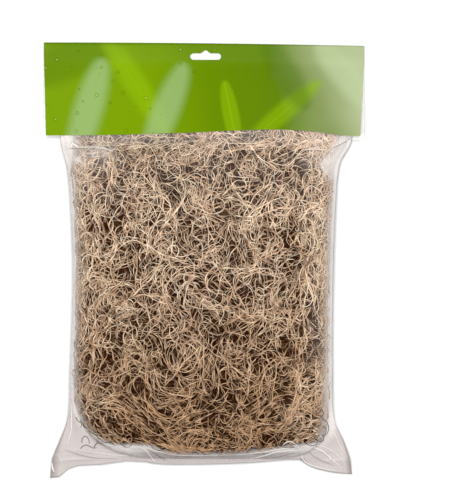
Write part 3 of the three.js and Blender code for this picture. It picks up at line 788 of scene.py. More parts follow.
# %% [markdown]
# ## The strands
# A strand is a three-sided tube with smooth shading, which from a step away is as good as a round
# one and costs six triangles a step. Its curvature swings slowly, so it wanders, loops and curls.
# Strands come in sprays that share a root, a heading and a curl: side by side they make the fans and
# whorls of the real plant, whose stems fork again and again.

# %% One layer of strands
STRAND_STEPS = 20
SHORTEST_STEP = 1.2 * MM
LONGEST_STEP = 3.6 * MM
SIDES = 3
MAP_COLUMNS = 12  # cells across the map on which strands are laid out flat
SIDE_SLACK = 5 * MM  # how much the tangle's sides wander in and out
NECK_SLACK = 8 * MM  # and how far they fall short of the flattened film in the neck
SPRAY_ROOT = 1.2 * MM  # half the width of a fan at its root
SPRAY_WIDTH = 4.6 * MM  # and of a spray whose strands lie side by side
TOP_HEAVY = 1.12  # above 1, sprays lie closer together towards the card
HOLLOW = 0.8 * MM  # how much deeper strands lie in the hollows between tufts


def even_places(rng, count, aspect):
    """Places in a unit square that stands for a sheet of that aspect, width over height: one in
    each cell of a grid, at random within it. The last cells of the grid stay empty."""
    columns = int(np.ceil((count * aspect) ** 0.5))
    rows = int(np.ceil(count / columns))
    cell = rng.permutation(columns * rows)[:count]
    jitter = rng.random((2, count))
    return (cell % columns + jitter[0]) / columns, (cell // columns + jitter[1]) / rows


def pressed(down):
    """Share by which the moss is pressed together and combed sideways: all of it near its foot."""
    return smoothstep(down, SHEET_LENGTH - 120 * MM, SHEET_LENGTH - 60 * MM)


def grain(around, down):
    """The way that neighbouring strands lie, as an angle that wanders over the sheet."""
    wander = 2 * pi * 1.5 * (lattice_noise(around, down, 30 * MM, 41) - 0.5)
    wander += 1.2 * (lattice_noise(around, down, 9 * MM, 46) - 0.5)
    return wander * (1 - 0.8 * pressed(down))


def draw_sprays(rng, sprays, each, curl, step_share, spread, pull, layer, band):
    """Sheet coordinates of sprays * each strands. Place is the sum of heading along a strand, and
    heading the sum of its curvature and of a pull into line with the grain. The strands of a spray
    share one curvature, nearly, and lie side by side. Half the sprays are fans, with one root and
    strands that curl apart. curl is the least and most radius of a spray's curls, and a step is
    step_share of it; band is the part of the girth that the sprays are rooted in."""
    count = sprays * each
    spray = np.repeat(np.arange(sprays), each)
    rank = np.tile(np.linspace(-1, 1, each), sprays) + rng.normal(0, 0.2, count)

    def shared(values, vary):
        """One value for each spray, a little different for each of its strands, as a column."""
        return (values[spray] * (1 + vary * rng.normal(0, 1, count)))[:, None]

    # Each spray's root, and the way it sets out: along the grain, to either end of it.
    place = even_places(rng, sprays, (band[1] - band[0]) * GIRTH / SHEET_LENGTH)
    start = (band[0] + (band[1] - band[0]) * place[0]) * GIRTH
    end = sheet_end(start, np.full_like(start, NEAR_FOOT), np.full_like(start, layer[0]))
    down = place[1] ** TOP_HEAVY * end
    heading = grain(start, down) + pi * (rng.random(sprays) < 0.5)
    heading += rng.normal(0, 0.45, sprays)
    # The radius of its curls, wider where the moss is pressed, and the steps along them.
    radius = (curl[0] * (curl[1] / curl[0]) ** rng.random(sprays))[spray][:, None]
    step = np.clip(step_share * radius, SHORTEST_STEP, LONGEST_STEP) * rng.uniform(0.75, 1.05, (count, 1))
    radius = radius * (1 + 0.3 * pressed(down))[spray][:, None]
    along = np.arange(STRAND_STEPS + 1)[None, :] * step
    # How tightly a strand curls, as a share of a curl of that radius: in a fan each its own way,
    # otherwise all one way, with a slow swing and a little unrest on top.
    fan = (rng.random(sprays) < 0.5)[spray]
    one_way = shared(rng.uniform(0.4, 1.0, sprays) * rng.choice((-1, 1), sprays), 0.15)
    turning = np.where(fan[:, None], 0.7 * rank[:, None], one_way)
    swing = shared(rng.uniform(0.3, 1.1, sprays), 0.25)
    wave = shared(rng.uniform(2.2, 5.5, sprays), 0.1) * radius
    phase = shared(rng.uniform(0, 2 * pi, sprays), 0.08)
    bend = (turning + swing * np.sin(2 * pi * along / wave + phase)) / radius * step
    bend += rng.normal(0, 0.12, bend.shape)
    # Where it starts beside its spray's middle, and its route, step by step.
    angle = heading[spray] + spread * np.where(fan, rank, 0) + rng.normal(0, 0.08, count)
    aside = rank * np.where(fan, SPRAY_ROOT, SPRAY_WIDTH)
    back = rng.normal(0, 2 * MM, count)
    ahead, across = np.stack([np.cos(angle), np.sin(angle)]), np.stack([-np.sin(angle), np.cos(angle)])
    route = [np.stack([start[spray], down[spray]]) + aside * across + back * ahead]
    for k in range(STRAND_STEPS):
        into_line = 0.5 * np.sin(2 * (grain(*route[-1]) - angle))
        angle = angle + bend[:, k] + pull * (1 + 0.8 * pressed(route[-1][1])) * into_line
        route.append(route[-1] + step[:, 0] * np.stack([np.cos(angle), np.sin(angle)]))
    around, length = np.stack(route, -1)
    # How deep it lies: deep at its root and in hollows, and weaving under and over the others.
    weave = shared(rng.uniform(9 * MM, 20 * MM, sprays), 0.1)
    lift = 0.5 + 0.5 * np.sin(2 * pi * along / weave + shared(rng.uniform(0, 2 * pi, sprays), 0.1))
    rooted = np.exp(-along / (5 * MM))
    own = 0.2 * rng.random(sprays)[spray][:, None] + 0.35 * rng.random((count, 1)) + 0.45 * lift
    hollow = smoothstep(lattice_noise(around, length, 6 * MM, 45), 0.6, 0.95)
    depth = layer[0] + (layer[1] - layer[0]) * own + 3.5 * MM * rooted + HOLLOW * hollow
    return around, length, depth


def strip_map(piece, count, length):
    """Lays each strand out flat, as a strip in a cell of its own, on a UV map that colours can be
    stored on. The two end faces have a place behind the strip."""
    k, c = np.repeat(np.arange(length - 1), SIDES), np.tile(np.arange(SIDES), length - 1)
    quad = np.stack([
        np.stack([k, k + 1, k + 1, k], -1) * 0.9 / (length - 1), np.stack([c, c, c + 1, c + 1], -1) / SIDES,
    ], -1)
    ends = np.array([[(0.93, 0.1), (0.97, 0.1), (0.95, 0.4)], [(0.93, 0.6), (0.97, 0.6), (0.95, 0.9)]])
    strip = np.concatenate([halved(quad), ends])
    rows = -(-count // MAP_COLUMNS)
    cell = np.stack([np.arange(count) % MAP_COLUMNS, np.arange(count) // MAP_COLUMNS], -1)
    corners = (cell[:, None, None] + (0.01, 0.06) + strip[None] * (0.98, 0.88)) / (MAP_COLUMNS, rows)
    layer = piece.data.uv_layers.new(name="OFBake")
    layer.data.foreach_set("uv", np.ascontiguousarray(corners, np.float32).ravel())


def tubes(name, points, outward, depth, root_radius, rng):
    """Sweeps a triangle along each strand: at every point it is spanned by the side and lift
    directions, which are square to the strand, and at share s of the way its radius is that of the
    root times 1 - s^2 / 2. The materials read each point's depth, its strand's tone and its crest,
    which is 1 on the corner that points out of the moss and 0 on the other two."""
    ahead = np.gradient(points, axis=1)
    ahead /= np.linalg.norm(ahead, axis=-1, keepdims=True) + 1e-12
    side = np.cross(ahead, outward)
    side /= np.linalg.norm(side, axis=-1, keepdims=True) + 1e-9
    up = np.cross(side, ahead)
    count, length = depth.shape
    share = np.linspace(0, 1, length)[None, :]
    radius = root_radius[:, None] * (1 - 0.5 * share ** 2)
    turn = np.arange(SIDES) * 2 * pi / SIDES + pi / 2
    ring = points[:, :, None] + radius[:, :, None, None] * (
        np.cos(turn)[:, None] * side[:, :, None] + np.sin(turn)[:, None] * up[:, :, None]
    )
    last = (length - 1) * SIDES
    ends = [(0, 1, 2), (last + 2, last + 1, last)]
    body = np.concatenate([halved(grid_faces(length, SIDES, True)), ends])
    strand = np.arange(count)[:, None, None] * length * SIDES
    faces = (body[None] + strand).reshape(-1, 3)
    piece = new_object(name, ring.reshape(-1, 3), faces)
    paint(piece, "depth", np.repeat(depth.ravel(), SIDES) / (10 * MM))
    paint(piece, "tone", np.repeat(np.repeat(rng.random(count), length), SIDES))
    paint(piece, "crest", np.tile(np.array([1.0, 0.0, 0.0]), count * length))
    strip_map(piece, count, length)
    return piece


rng = np.random.default_rng(2024)
TOP_BAND = (-0.06, 0.56)  # from a little below one crease, over the top, to a little below the other
UNDER_BAND = (0.54, 0.96)
LAYERS = [
    # name, sprays, strands each, curl radii, step share, spread, pull, depths, band and radius at
    # the root, with lengths in mm
    ("moss_curls_outer", 400, 4, (3, 7), 0.38, 0.5, 0.04, (0.9, 3.4), TOP_BAND, 0.74),
    ("moss_strands_outer", 320, 5, (7, 26), 0.25, 0.5, 0.14, (0.9, 3.4), TOP_BAND, 0.86),
    ("moss_strands_fine", 390, 4, (5, 16), 0.28, 0.5, 0.12, (1.2, 3.8), TOP_BAND, 0.70),
    ("moss_strands_inner", 400, 4, (6, 20), 0.30, 0.5, 0.08, (2.5, 5.0), TOP_BAND, 0.86),
    ("moss_strands_under", 140, 4, (8, 20), 0.30, 0.6, 0.10, (0.9, 5.0), UNDER_BAND, 1.00),
]
strand_pieces = []
for name, sprays, each, curl, step_share, spread, pull, layer, band, radius in LAYERS:
    curl, layer = np.array(curl) * MM, np.array(layer) * MM
    around, down, depth = draw_sprays(rng, sprays, each, curl, step_share, spread, pull, layer, band)
    radii = radius * MM * rng.uniform(0.75, 1.2, len(around))
    strand_pieces.append(tubes(name, *lay(around, down, depth), depth, radii, rng))
    print(f"{name}: {len(around)} strands, {triangles(strand_pieces[-1])} triangles")

# %% [markdown]
# The tangle's outline is not clean. Short curls reach into the margins all along both sides, and a few
# loose ends slip out beyond its foot, thin and dark against the pale corners. They lie against the
# film, so they are drawn on the plan and take their height from it.

# %% Fringe and loose strands
FRINGE = 150
FRINGE_DEPTH = 0.45 * MM  # below the film's skin
FRINGE_LAP = 1 * MM  # they end this far short of the film's edge
LOOSE_LIFT = 0.12 * MM  # over the skin
LOOSE_RADIUS = 0.42 * MM  # of both kinds, at the root
SHADED_AS = np.array([1.8, 4.5]) * MM  # depths that give the fringe and the loose ones their shade
# (x, y) of places along each loose strand, in mm.
LOOSE = [
    [(-123.2, -186.8), (-120.7, -184.3), (-117.3, -183.2), (-114, -184.8), (-110.7, -186.3), (-107, -186)],
    [(-109.8, -186), (-108.2, -182.7), (-104, -181), (-99.8, -182.2)],
    [(-122, -181), (-121.5, -176.8), (-118.2, -174.3), (-115.3, -177.7), (-114.3, -182.2)],
    [(-115.3, -168.5), (-111.5, -171), (-107.3, -173.5), (-105.7, -177.7), (-108, -181)],
    [(-128.2, -155.2), (-125.7, -159.3), (-122.3, -161.8), (-123.2, -166)],
    [(-123.5, -158), (-120, -163), (-117.3, -166), (-113, -165)],
    [(-105, -176), (-99, -180.5), (-93, -180), (-89, -183.5)],
    [(-84, -180.5), (-79, -184.6), (-74.5, -184.8), (-72, -182)],
    [(-52.3, -184.2), (-49.8, -186.8), (-44, -188.5), (-38, -186.5)],
    [(117.4, -155.6), (122.4, -160), (124.6, -165.6), (123.1, -171.4), (119.6, -174.9)],
    [(119, -164.2), (121.7, -167), (121, -172), (116.5, -175)],
    [(116, -147), (119, -150.5), (117.4, -154.2), (114, -153)],
    [(110, -176), (116, -179.9), (119.6, -178), (118.5, -173.5)],
    [(100, -180), (106, -183.6), (112, -182.4), (113, -178.5)],
]


def fringe_strands(rng):
    """Arcs in plan, each with one radius, that leave the crease at either side on a slant and curl
    back to it. Those that would leave the film turn back at its edge."""
    y = rng.uniform(-178 * MM, 96 * MM, FRINGE)
    side = rng.choice((-1, 1), FRINGE)
    middle, to_left, to_right = filling_span(y, 0)
    x = middle + side * (np.where(side < 0, to_left, to_right) - rng.uniform(1 * MM, 4 * MM, FRINGE))
    curl = rng.choice((-1, 1), FRINGE)
    heading = np.where(side > 0, 0, pi) + curl * rng.uniform(0.3, 1.1, FRINGE)
    turning = curl * rng.uniform(0.14, 0.32, FRINGE)
    angle = heading[:, None] + turning[:, None] * np.arange(STRAND_STEPS)
    step = rng.uniform(0.4, 0.8, (FRINGE, 1)) * MM
    along_x = np.cumsum(step * np.cos(angle), axis=1)
    along_y = np.cumsum(step * np.sin(angle), axis=1)
    x = x[:, None] + np.concatenate([np.zeros((FRINGE, 1)), along_x], axis=1)
    y = y[:, None] + np.concatenate([np.zeros((FRINGE, 1)), along_y], axis=1)
    x = folded_back(x, through(LEFT_EDGE, y) + FRINGE_LAP, through(RIGHT_EDGE, y) - FRINGE_LAP)
    height = film_height(np.column_stack([x.ravel(), y.ravel()])).reshape(x.shape)
    return np.stack([x, y, height - FRINGE_DEPTH], -1)


def loose_strands():
    """A smooth line through each list of places, lying against the outside of the film's skin."""
    lines = [smooth_line(keys, np.linspace(0, 1, STRAND_STEPS + 1)) for keys in LOOSE]
    return np.array([np.column_stack([line, film_height(line) + LOOSE_LIFT]) for line in lines])


lines = np.concatenate([fringe_strands(rng), loose_strands()])
depth = np.repeat(SHADED_AS, [FRINGE, len(LOOSE)])[:, None] + np.zeros((1, STRAND_STEPS + 1))
upward = np.broadcast_to(np.array([0.0, 0.0, 1.0]), lines.shape)
radii = np.full(len(lines), LOOSE_RADIUS)
strand_pieces.append(tubes("moss_strands_loose", lines, upward, depth, radii, rng))
print("fringe and loose strands:", len(lines))

# %% [markdown]
# ## The packed middle
# Under the strands the bunch goes on as more of the same, pressed together and in deep shade. One
# closed, uneven body stands for it, so that no light leaks through the tangle, and its near-black
# colour is painted shade.

# %% Packed middle of the bunch
CORE_DEPTH = 9.5 * MM
CORE_RELIEF = 2.2 * MM
CORE_START = 14 * MM  # down the sheet from the moss's top
CORE_END_GAP = 8 * MM  # between its last ring and the moss's lower end
CORE_AROUND = 110
CORE_ROWS = 60


def packed_middle():
    """Rings of the pillow at the core's depth, roughened by ridged noise, closed at both ends by a
    fan of triangles round the middle of the end ring."""
    around = np.linspace(0, GIRTH, CORE_AROUND, endpoint=False)[None, :]
    end = sheet_end(around, np.full_like(around, NEAR_FOOT), np.full_like(around, CORE_DEPTH)) - CORE_END_GAP
    down = CORE_START + (end - CORE_START) * np.linspace(0, 1, CORE_ROWS)[:, None]
    around, down = np.broadcast_arrays(around, down)
    rough = CORE_RELIEF * (ridges(around, down, 9 * MM, 51, 2) - 0.5)
    rings, _ = lay(around, down, CORE_DEPTH - rough)
    hubs = np.stack([rings[0].mean(0), rings[-1].mean(0)])
    c = np.arange(CORE_AROUND)
    beside = (c + 1) % CORE_AROUND
    last = (CORE_ROWS - 1) * CORE_AROUND
    hub = np.full_like(c, CORE_ROWS * CORE_AROUND)
    fans = [np.stack([hub, beside, c], -1), np.stack([hub + 1, last + c, last + beside], -1)]
    faces = np.concatenate([halved(grid_faces(CORE_ROWS, CORE_AROUND, True)[:, ::-1]), *fans])
    return new_object("moss_core_packed", np.concatenate([rings.reshape(-1, 3), hubs]), faces)


core = packed_middle()
print("packed middle:", triangles(core), "triangles")

# %% [markdown]
# ## Shader maths
# A material is a sum of measured quantities, so it reads best as an expression. A wire holds one
# output socket, and the operators on it add Math nodes. Everything else is one method, add.

# %% Shader helpers
class Wire:
    """A number that varies over a surface, and the maths on it. A colour's or a vector's socket is
    held by a wire too, but has no maths."""

    def __init__(self, shader, socket):
        self.shader = shader
        self.socket = socket

    def maths(self, operation, *values, clamp=False):
        """Adds a Math node on these numbers and wires."""
        settings = {"operation": operation, "use_clamp": clamp}
        return self.shader.add("ShaderNodeMath", settings, dict(enumerate(values)))

    def __add__(self, other):
        return self.maths("ADD", self, other)

    def __sub__(self, other):
        return self.maths("SUBTRACT", self, other)

    def __rsub__(self, other):
        return self.maths("SUBTRACT", other, self)

    def __mul__(self, other):
        return self.maths("MULTIPLY", self, other)

    def __pow__(self, other):
        return self.maths("POWER", self, other)

    def __abs__(self):
        return self.maths("ABSOLUTE", self)

    __radd__ = __add__
    __rmul__ = __mul__

    def clipped(self):
        """The number itself from 0 to 1, and the nearer of those two beyond."""
        return self.maths("ADD", self, 0.0, clamp=True)

    def between(self, low, high):
        """0 up to low, 1 from high on, and smooth between them."""
        sockets = {"Value": self, "From Min": low, "From Max": high}
        return self.shader.add("ShaderNodeMapRange", {"interpolation_type": "SMOOTHSTEP"}, sockets)


class Shader:
    """A new material and its node tree."""

    def __init__(self, name):
        self.material = bpy.data.materials.new(name)
        self.material.use_nodes = True
        self.tree = self.material.node_tree
        self.tree.nodes.clear()

    def add(self, kind, settings=None, sockets=None, output=0):
        """Adds a node of any kind, with its settings first, and gives one of its outputs."""
        node = self.tree.nodes.new(kind)
        for name, value in (settings or {}).items():
            if name == "stops":
                self.set_stops(node.color_ramp, value)
            else:
                setattr(node, name, value)
        for key, value in (sockets or {}).items():
            if isinstance(value, Wire):
                self.tree.links.new(value.socket, node.inputs[key])
            else:
                node.inputs[key].default_value = value
        return Wire(self, node.outputs[output]) if node.outputs else node

    def set_stops(self, ramp, stops):
        """Gives a colour ramp its (place, colour) stops."""
        while len(ramp.elements) < len(stops):
            ramp.elements.new(0.5)
        for element, (place, colour) in zip(ramp.elements, stops):
            element.position = place
            element.color = (*colour, 1)

    def mix(self, share, first, second):
        """Colour first where share is 0 and second where it is 1. A Mix node's sockets 6 and 7 and
        its output 2 are the ones for colours."""
        colours = {0: share, 6: self.solid(first), 7: self.solid(second)}
        return self.add("ShaderNodeMix", {"data_type": "RGBA"}, colours, output=2)

    def solid(self, colour):
        """A colour with an opacity of 1, unless it is a wire."""
        return colour if isinstance(colour, Wire) else (*colour, 1)

    def place(self):
        """Object coordinates, which are metres in the part's frame."""
        return self.add("ShaderNodeTexCoord", output=3)

    def plan(self, place):
        """x and y of a place."""
        outputs = self.add("ShaderNodeSeparateXYZ", None, {0: place}).socket.node.outputs
        return Wire(self, outputs[0]), Wire(self, outputs[1])

    def noise(self, vector, scale, detail, distortion=0.0):
        sockets = {"Vector": vector, "Scale": scale, "Detail": detail, "Distortion": distortion}
        return self.add("ShaderNodeTexNoise", None, sockets)

    def bump(self, height, strength, distance):
        sockets = {"Strength": strength, "Distance": distance, "Height": height}
        return self.add("ShaderNodeBump", None, sockets)

    def attribute(self, name):
        """The number that paint stored under this name."""
        return self.add("ShaderNodeAttribute", {"attribute_name": name}, output=2)

    def surface(self, sockets):
        """Ends the material in a Principled surface with these sockets set or linked."""
        body = self.add("ShaderNodeBsdfPrincipled", None, sockets)
        self.add("ShaderNodeOutputMaterial", None, {"Surface": body})
        return self.material


print("what a shader can add:", [name for name in vars(Shader) if not name.startswith("_")])

# %% [markdown]
# ## Moss finish
# Dried strands are straw to grey-brown, each a little different. Painted shade makes them darker and
# warmer deeper in the tangle, and darker and browner towards the foot. They are dull, with a faint
# fibrous unevenness along their length. A strand's flanks carry painted shade and its crest stays
# pale, which draws each strand apart from the next even in flat light.

# %% Moss materials
STRAW = (0.77, 0.615, 0.465)
KHAKI = (0.58, 0.49, 0.33)
UMBER = (0.46, 0.30, 0.19)
# painted shade on each strand's flanks
FLANK_SHADE = (0.20, 0.085, 0.015)
# painted shade: the moss is darker and browner towards its foot
FOOT_SHADE = (0.495, 0.290, 0.145)  # the moss is browner towards its foot
# painted shade deep in the tangle
SHADE = (0.026, 0.006, 0.0005)
# painted shade of the packed middle, its ground and its fibres
PACKED_SHADE = (0.018, 0.006, 0.001)
SHADED_FIBRE = (0.085, 0.034, 0.011)


def moss_strand_material():
    """A strand's own colour, then painted shade that makes the foot browner and darker, painted shade on
    the flanks, specks of umber and the painted shade of the depth. That shade is less at the two sides,
    where painted light comes in, and along the middle and just below the card, and a little more
    towards the foot."""
    sh = Shader("moss_strand")
    place = sh.place()
    x, y = sh.plan(place)
    tone, depth, crest = sh.attribute("tone"), sh.attribute("depth"), sh.attribute("crest")
    own = sh.mix((tone * 1.7 - 0.35).clipped(), UMBER, STRAW)
    drift = (sh.noise(place, 22.0, 2.0) - 0.5) * 3.0 + (tone - 0.5) * 0.8
    own = sh.mix(drift.clipped() * 0.55, own, KHAKI)
    aside = abs(x + 0.003) + (0.35 * (-0.10 - y)).clipped()
    side = aside.between(0.09, 0.125)
    # painted shade towards the foot, less at the two sides
    own = sh.mix((1 - y.between(-0.20, 0.02)) * (0.75 - side * 0.45), own, FOOT_SHADE)
    # painted shade on the flanks, which leaves each strand's crest pale
    colour = sh.mix((1 - crest.between(0.0, 0.6)) * 0.82, own, FLANK_SHADE)
    fibre = sh.noise(place, 1400.0, 2.0)
    colour = sh.mix(fibre.between(0.45, 0.75) * 0.2, colour, UMBER)
    # painted light at the sides, low down
    lit = side * y.between(-0.18, -0.12) * (x * 4.0 + 0.52)  # more so at the right
    foot = y.between(-0.19, -0.17) * (1 - y.between(-0.11, -0.05))
    middle = y.between(-0.07, 0.03) * 0.02 - y.between(0.07, 0.10) * 0.015
    # painted shade that grows with depth, eased by painted light at the sides, along the middle and just
    # below the card
    shade = depth + foot * 0.022 - middle - y.between(0.106, 0.122) * 0.04 - lit * 0.055
    colour = sh.mix(shade.between(0.08, 0.42) * (1 - lit * 0.3), colour, SHADE)
    return sh.surface({
        "Base Color": colour, "Roughness": 0.82, "Specular IOR Level": 0.0,
        "Normal": sh.bump(fibre, 0.35, 0.0002),
    })


def moss_core_material():
    """Pale lines along the edges of small cells, whose pattern noise bends, on a dark ground, all of it
    painted shade.
    """
    sh = Shader("moss_packed")
    place = sh.place()
    swirl = sh.add("ShaderNodeTexNoise", None, {"Vector": place, "Scale": 90.0, "Detail": 2.0}, output=1)
    warp = {0: swirl, 1: (0.02,) * 3, 2: place}
    warped = sh.add("ShaderNodeVectorMath", {"operation": "MULTIPLY_ADD"}, warp)
    sockets = {"Vector": warped, "Scale": 260.0}
    cells = sh.add("ShaderNodeTexVoronoi", {"feature": "DISTANCE_TO_EDGE"}, sockets)
    fibres = 1 - cells.between(0.03, 0.22)
    return sh.surface({
        "Base Color": sh.mix(fibres, PACKED_SHADE, SHADED_FIBRE), "Roughness": 0.9,
        "Specular IOR Level": 0.0, "Normal": sh.bump(fibres, 0.8, 0.001),
    })


strand_finish = moss_strand_material()
for piece in strand_pieces:
    piece.data.materials.append(strand_finish)
core.data.materials.append(moss_core_material())
print("moss finishes:", strand_finish.name, core.data.materials[0].name)

# %% [markdown]
# ## Film finish
# Thin film scatters a little light, which is its haze, lets the rest straight through and mirrors
# lamps faintly all over. So its haze drives how solid a pale glossy surface is, and its tone, which is
# painted light and shade, how bright that surface is.

# %% Film material
# painted shade, the film's own plain colour and painted light
SHADED_FILM = (0.30, 0.255, 0.225)
PLAIN_FILM = (0.58, 0.525, 0.51)
LIT_FILM = (0.96, 0.91, 0.875)


def film_material():
    """Opacity is the haze, made a little cloudy. Colour runs from painted shade over plain to painted
    light as the tone runs from 0 over a half to 1."""
    sh = Shader("clear_film")
    haze, tone = sh.attribute("haze"), sh.attribute("tone")
    cloud = sh.noise(sh.place(), 26.0, 4.0, 0.6)
    colour = sh.mix((tone * 2).clipped(), SHADED_FILM, PLAIN_FILM)
    colour = sh.mix((tone * 2 - 1).clipped(), colour, LIT_FILM)
    return sh.surface({
        "Base Color": colour, "Roughness": 0.35, "Specular IOR Level": 0.17,
        "Alpha": (haze * (0.7 + 0.6 * cloud)).clipped(),
    })


film_finish = film_material()
for piece in (film, pleats):
    piece.data.materials.append(film_finish)
print("film finish:", film_finish.name)

# %% [markdown]
# ## Card finish
# The print is a soft, out-of-focus run of greens, deep at the left and pale at the right, with
# broad oval leaves and a few dew drops, on coated board. The cut edges and the inside show the bare
# white board.

# %% Card materials
GROUND = [
    # share of the card's width, colour
    (0.00, (0.110, 0.195, 0.0003)),
    (0.30, (0.110, 0.195, 0.0004)),
    (0.52, (0.080, 0.148, 0.0003)),
    (0.72, (0.072, 0.135, 0.002)),
    (0.84, (0.145, 0.190, 0.060)),
    (1.00, (0.270, 0.310, 0.175)),
]
DEEP_GREEN = (0.045, 0.100, 0.0003)
BRIGHT_GREEN = (0.150, 0.265, 0.0012)
MIST_GREEN = (0.195, 0.290, 0.105)
PALE_GREEN = (0.30, 0.36, 0.20)
LIME = (0.200, 0.300, 0.005)
DEW = (0.45, 0.62, 0.20)
BOARD_WHITE = (0.84, 0.83, 0.80)
BOARD_GREY = (0.72, 0.71, 0.67)
LEAVES = [
    # base, tip, half width, softness, colour, strength and strength of the rib, lengths in metres
    ((-0.190, 0.180), (-0.080, 0.225), 0.020, 0.0090, DEEP_GREEN, 0.45, 0),
    ((-0.132, 0.095), (-0.100, 0.205), 0.014, 0.0070, MIST_GREEN, 0.75, 0),
    ((-0.105, 0.235), (-0.035, 0.125), 0.011, 0.0060, BRIGHT_GREEN, 0.70, 0.2),
    ((-0.058, 0.100), (-0.018, 0.200), 0.013, 0.0065, MIST_GREEN, 0.70, 0),
    ((0.034, 0.110), (0.020, 0.182), 0.008, 0.0022, BRIGHT_GREEN, 0.60, 0.5),
    ((0.040, 0.115), (0.118, 0.182), 0.009, 0.0045, BRIGHT_GREEN, 0.60, 0.3),
    ((0.060, 0.224), (0.104, 0.150), 0.013, 0.0070, DEEP_GREEN, 0.45, 0),
    ((0.172, 0.150), (0.112, 0.222), 0.014, 0.0070, PALE_GREEN, 0.60, 0),
]


def leaf_mask(x, y, base, tip, width, softness):
    """1 inside an oval leaf that runs from base to tip, 0 outside: half its width is
    width * sqrt(4 t (1 - t)) at share t of its length, and its outline is as blurred as softness
    on either side. Also how far a point is off its midrib."""
    dx, dy = tip[0] - base[0], tip[1] - base[1]
    length = (dx * dx + dy * dy) ** 0.5
    along = ((x - base[0]) * (dx / length ** 2) + (y - base[1]) * (dy / length ** 2)).clipped()
    aside = abs((y - base[1]) * (dx / length) - (x - base[0]) * (dy / length))
    swell = (along * (1 - along) * 4) ** 0.5
    return (swell * width - aside).between(-softness, softness) * (swell * 2).clipped(), aside


def card_print_material():
    """The ground's greens, read at the share of the width, which noise and height shift a little,
    then the leaves, two sizes of dew rings at the left, and painted shade on the flat strip and
    along the fold."""
    sh = Shader("card_print")
    place = sh.place()
    x, y = sh.plan(place)
    cloud = sh.noise(place, 11.0, 2.0)
    across = x * (1 / CARD_WIDTH) + 0.5 + (cloud - 0.5) * 0.22 + (y - 0.17) * 0.9
    colour = sh.add("ShaderNodeValToRGB", {"stops": GROUND}, {0: across.clipped()})
    for base, tip, width, softness, tint, strength, rib_strength in LEAVES:
        mask, aside = leaf_mask(x, y, base, tip, width, softness)
        colour = sh.mix(mask * strength, colour, tint)
        if rib_strength:
            rib = (mask * 2 - 1.2).clipped() * (1 - aside.between(0.0002, 0.0012))
            colour = sh.mix(rib * rib_strength, colour, LIME)
    drops = sh.add("ShaderNodeTexVoronoi", {"voronoi_dimensions": "3D"}, {"Vector": place, "Scale": 85.0})
    wet = sh.noise(place, 24.0, 1.0).between(0.45, 0.53) * (1 - x.between(-0.03, 0.05))
    rim = drops.between(0.10, 0.16) * (1 - drops.between(0.17, 0.23))
    colour = sh.mix(rim * wet * 0.45, colour, DEEP_GREEN)
    colour = sh.mix((1 - drops.between(0.03, 0.09)) * wet * 0.4, colour, DEW)
    # painted shade on the flat strip and in a thin line along the fold
    colour = sh.mix(y.between(0.196, 0.208) * 0.07, colour, DEEP_GREEN)
    colour = sh.mix(y.between(0.2145, 0.218) * 0.45, colour, DEEP_GREEN)
    coat = sh.noise(place, 900.0, 2.0)
    return sh.surface({
        "Base Color": colour, "Roughness": 0.38 + 0.08 * coat, "Specular IOR Level": 0.012,
        "Normal": sh.bump(coat, 0.05, 0.0002),
    })


def bare_board_material():
    """White board with fine grey flecks."""
    sh = Shader("bare_board")
    flecks = sh.noise(sh.place(), 700.0, 4.0)
    return sh.surface({"Base Color": sh.mix(flecks, BOARD_GREY, BOARD_WHITE), "Roughness": 0.8})


bare_board = bare_board_material()
for finish in (card_print_material(), bare_board):
    card.data.materials.append(finish)
cutter = slot_cutter()
cutter.data.materials.append(bare_board)
cut = card.modifiers.new("slot", "BOOLEAN")
cut.object = cutter
cut.solver = "EXACT"
cut.material_mode = "TRANSFER"
with bpy.context.temp_override(object=card, active_object=card, selected_objects=[card]):
    bpy.ops.object.modifier_apply(modifier="slot")
bpy.data.objects.remove(cutter)
card.data.set_sharp_from_angle(angle=radians(40))
print("card with slot:", triangles(card), "triangles, materials", [m.name for m in card.data.materials])

# %% [markdown]
# ## What stands for what
# The dressed pieces hide their CAD solids, which stay on for the physics, and ride on the one body.

# %% Replacing the solids
for piece in (film, pleats):
    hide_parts("bag_film")
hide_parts("header_card")
for piece in [*strand_pieces, core]:
    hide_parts("moss_bunch")
dressed = [film, pleats, card, core, *strand_pieces]
for piece in dressed:
    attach(piece, "root")
print("pieces in place of the solids:", [piece.name for piece in dressed])

# %% [markdown]
# ## Stage, light and camera
# The pack lies on a pale floor under a large soft lamp, nearly overhead but a little towards the
# card and the left, and an even white surround. The camera looks straight down through a long lens,
# so the flat pack keeps its outline.

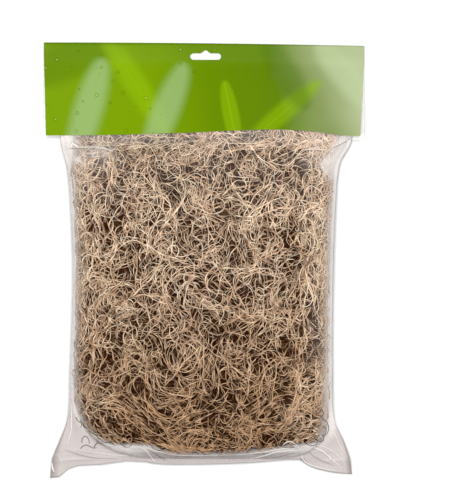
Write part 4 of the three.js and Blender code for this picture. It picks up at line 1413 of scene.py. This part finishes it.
# %% Stage, lamp and camera
FLOOR_REACH = 3  # metres from the middle to each side
FLOOR_DROP = 0.6 * MM  # below the surface that the pack lies on
floor_corners = np.array([(-1, -1), (1, -1), (1, 1), (-1, 1)]) * FLOOR_REACH
floor_points = np.column_stack([floor_corners, np.full(4, -FLOOR_DROP)])
floor = new_object("floor", floor_points, np.array([[0, 1, 2, 3]]), smooth=False)
floor.data.materials.append(
    Shader("pale_floor").surface({"Base Color": (0.58, 0.58, 0.58, 1), "Roughness": 0.9})
)

LAMP_PLACE = np.array([-0.06, 0.26, 2.2])
lamp_data = bpy.data.lights.new("key", "AREA")
lamp_data.size = 0.9
lamp_data.energy = 78
lamp = bpy.data.objects.new("key", lamp_data)
lamp.location = LAMP_PLACE
# Tipped off the vertical, then turned, until it faces the middle of the pack.
lamp.rotation_euler = (
    np.arctan2(np.hypot(LAMP_PLACE[0], LAMP_PLACE[1]), LAMP_PLACE[2]), 0,
    np.arctan2(-LAMP_PLACE[0], LAMP_PLACE[1]) + pi,
)
world = bpy.data.worlds.new("studio")
world.use_nodes = True
surround = world.node_tree.nodes["Background"]
surround.inputs["Color"].default_value = (1, 1, 1, 1)
surround.inputs["Strength"].default_value = 0.40
scene = bpy.context.scene
scene.collection.objects.link(lamp)
scene.world = world
scene.view_settings.view_transform = "Standard"

VIEW_CENTRE = (24.5 * MM, 11.5 * MM)
VIEW_HEIGHT = 500 * MM  # of the picture at the surface
CAMERA_HEIGHT = 9  # metres
SENSOR_HEIGHT = 24  # millimetres, as is the lens
camera_data = bpy.data.cameras.new("camera")
camera_data.sensor_fit = "VERTICAL"
camera_data.sensor_height = SENSOR_HEIGHT
camera_data.lens = SENSOR_HEIGHT * CAMERA_HEIGHT / VIEW_HEIGHT
camera_data.clip_end = 50
camera = bpy.data.objects.new("camera", camera_data)
camera.location = (*VIEW_CENTRE, CAMERA_HEIGHT)
scene.collection.objects.link(camera)
scene.camera = camera
print("camera lens:", camera_data.lens)

# %% Size and finish
print("triangles in all:", sum(triangles(piece) for piece in dressed))
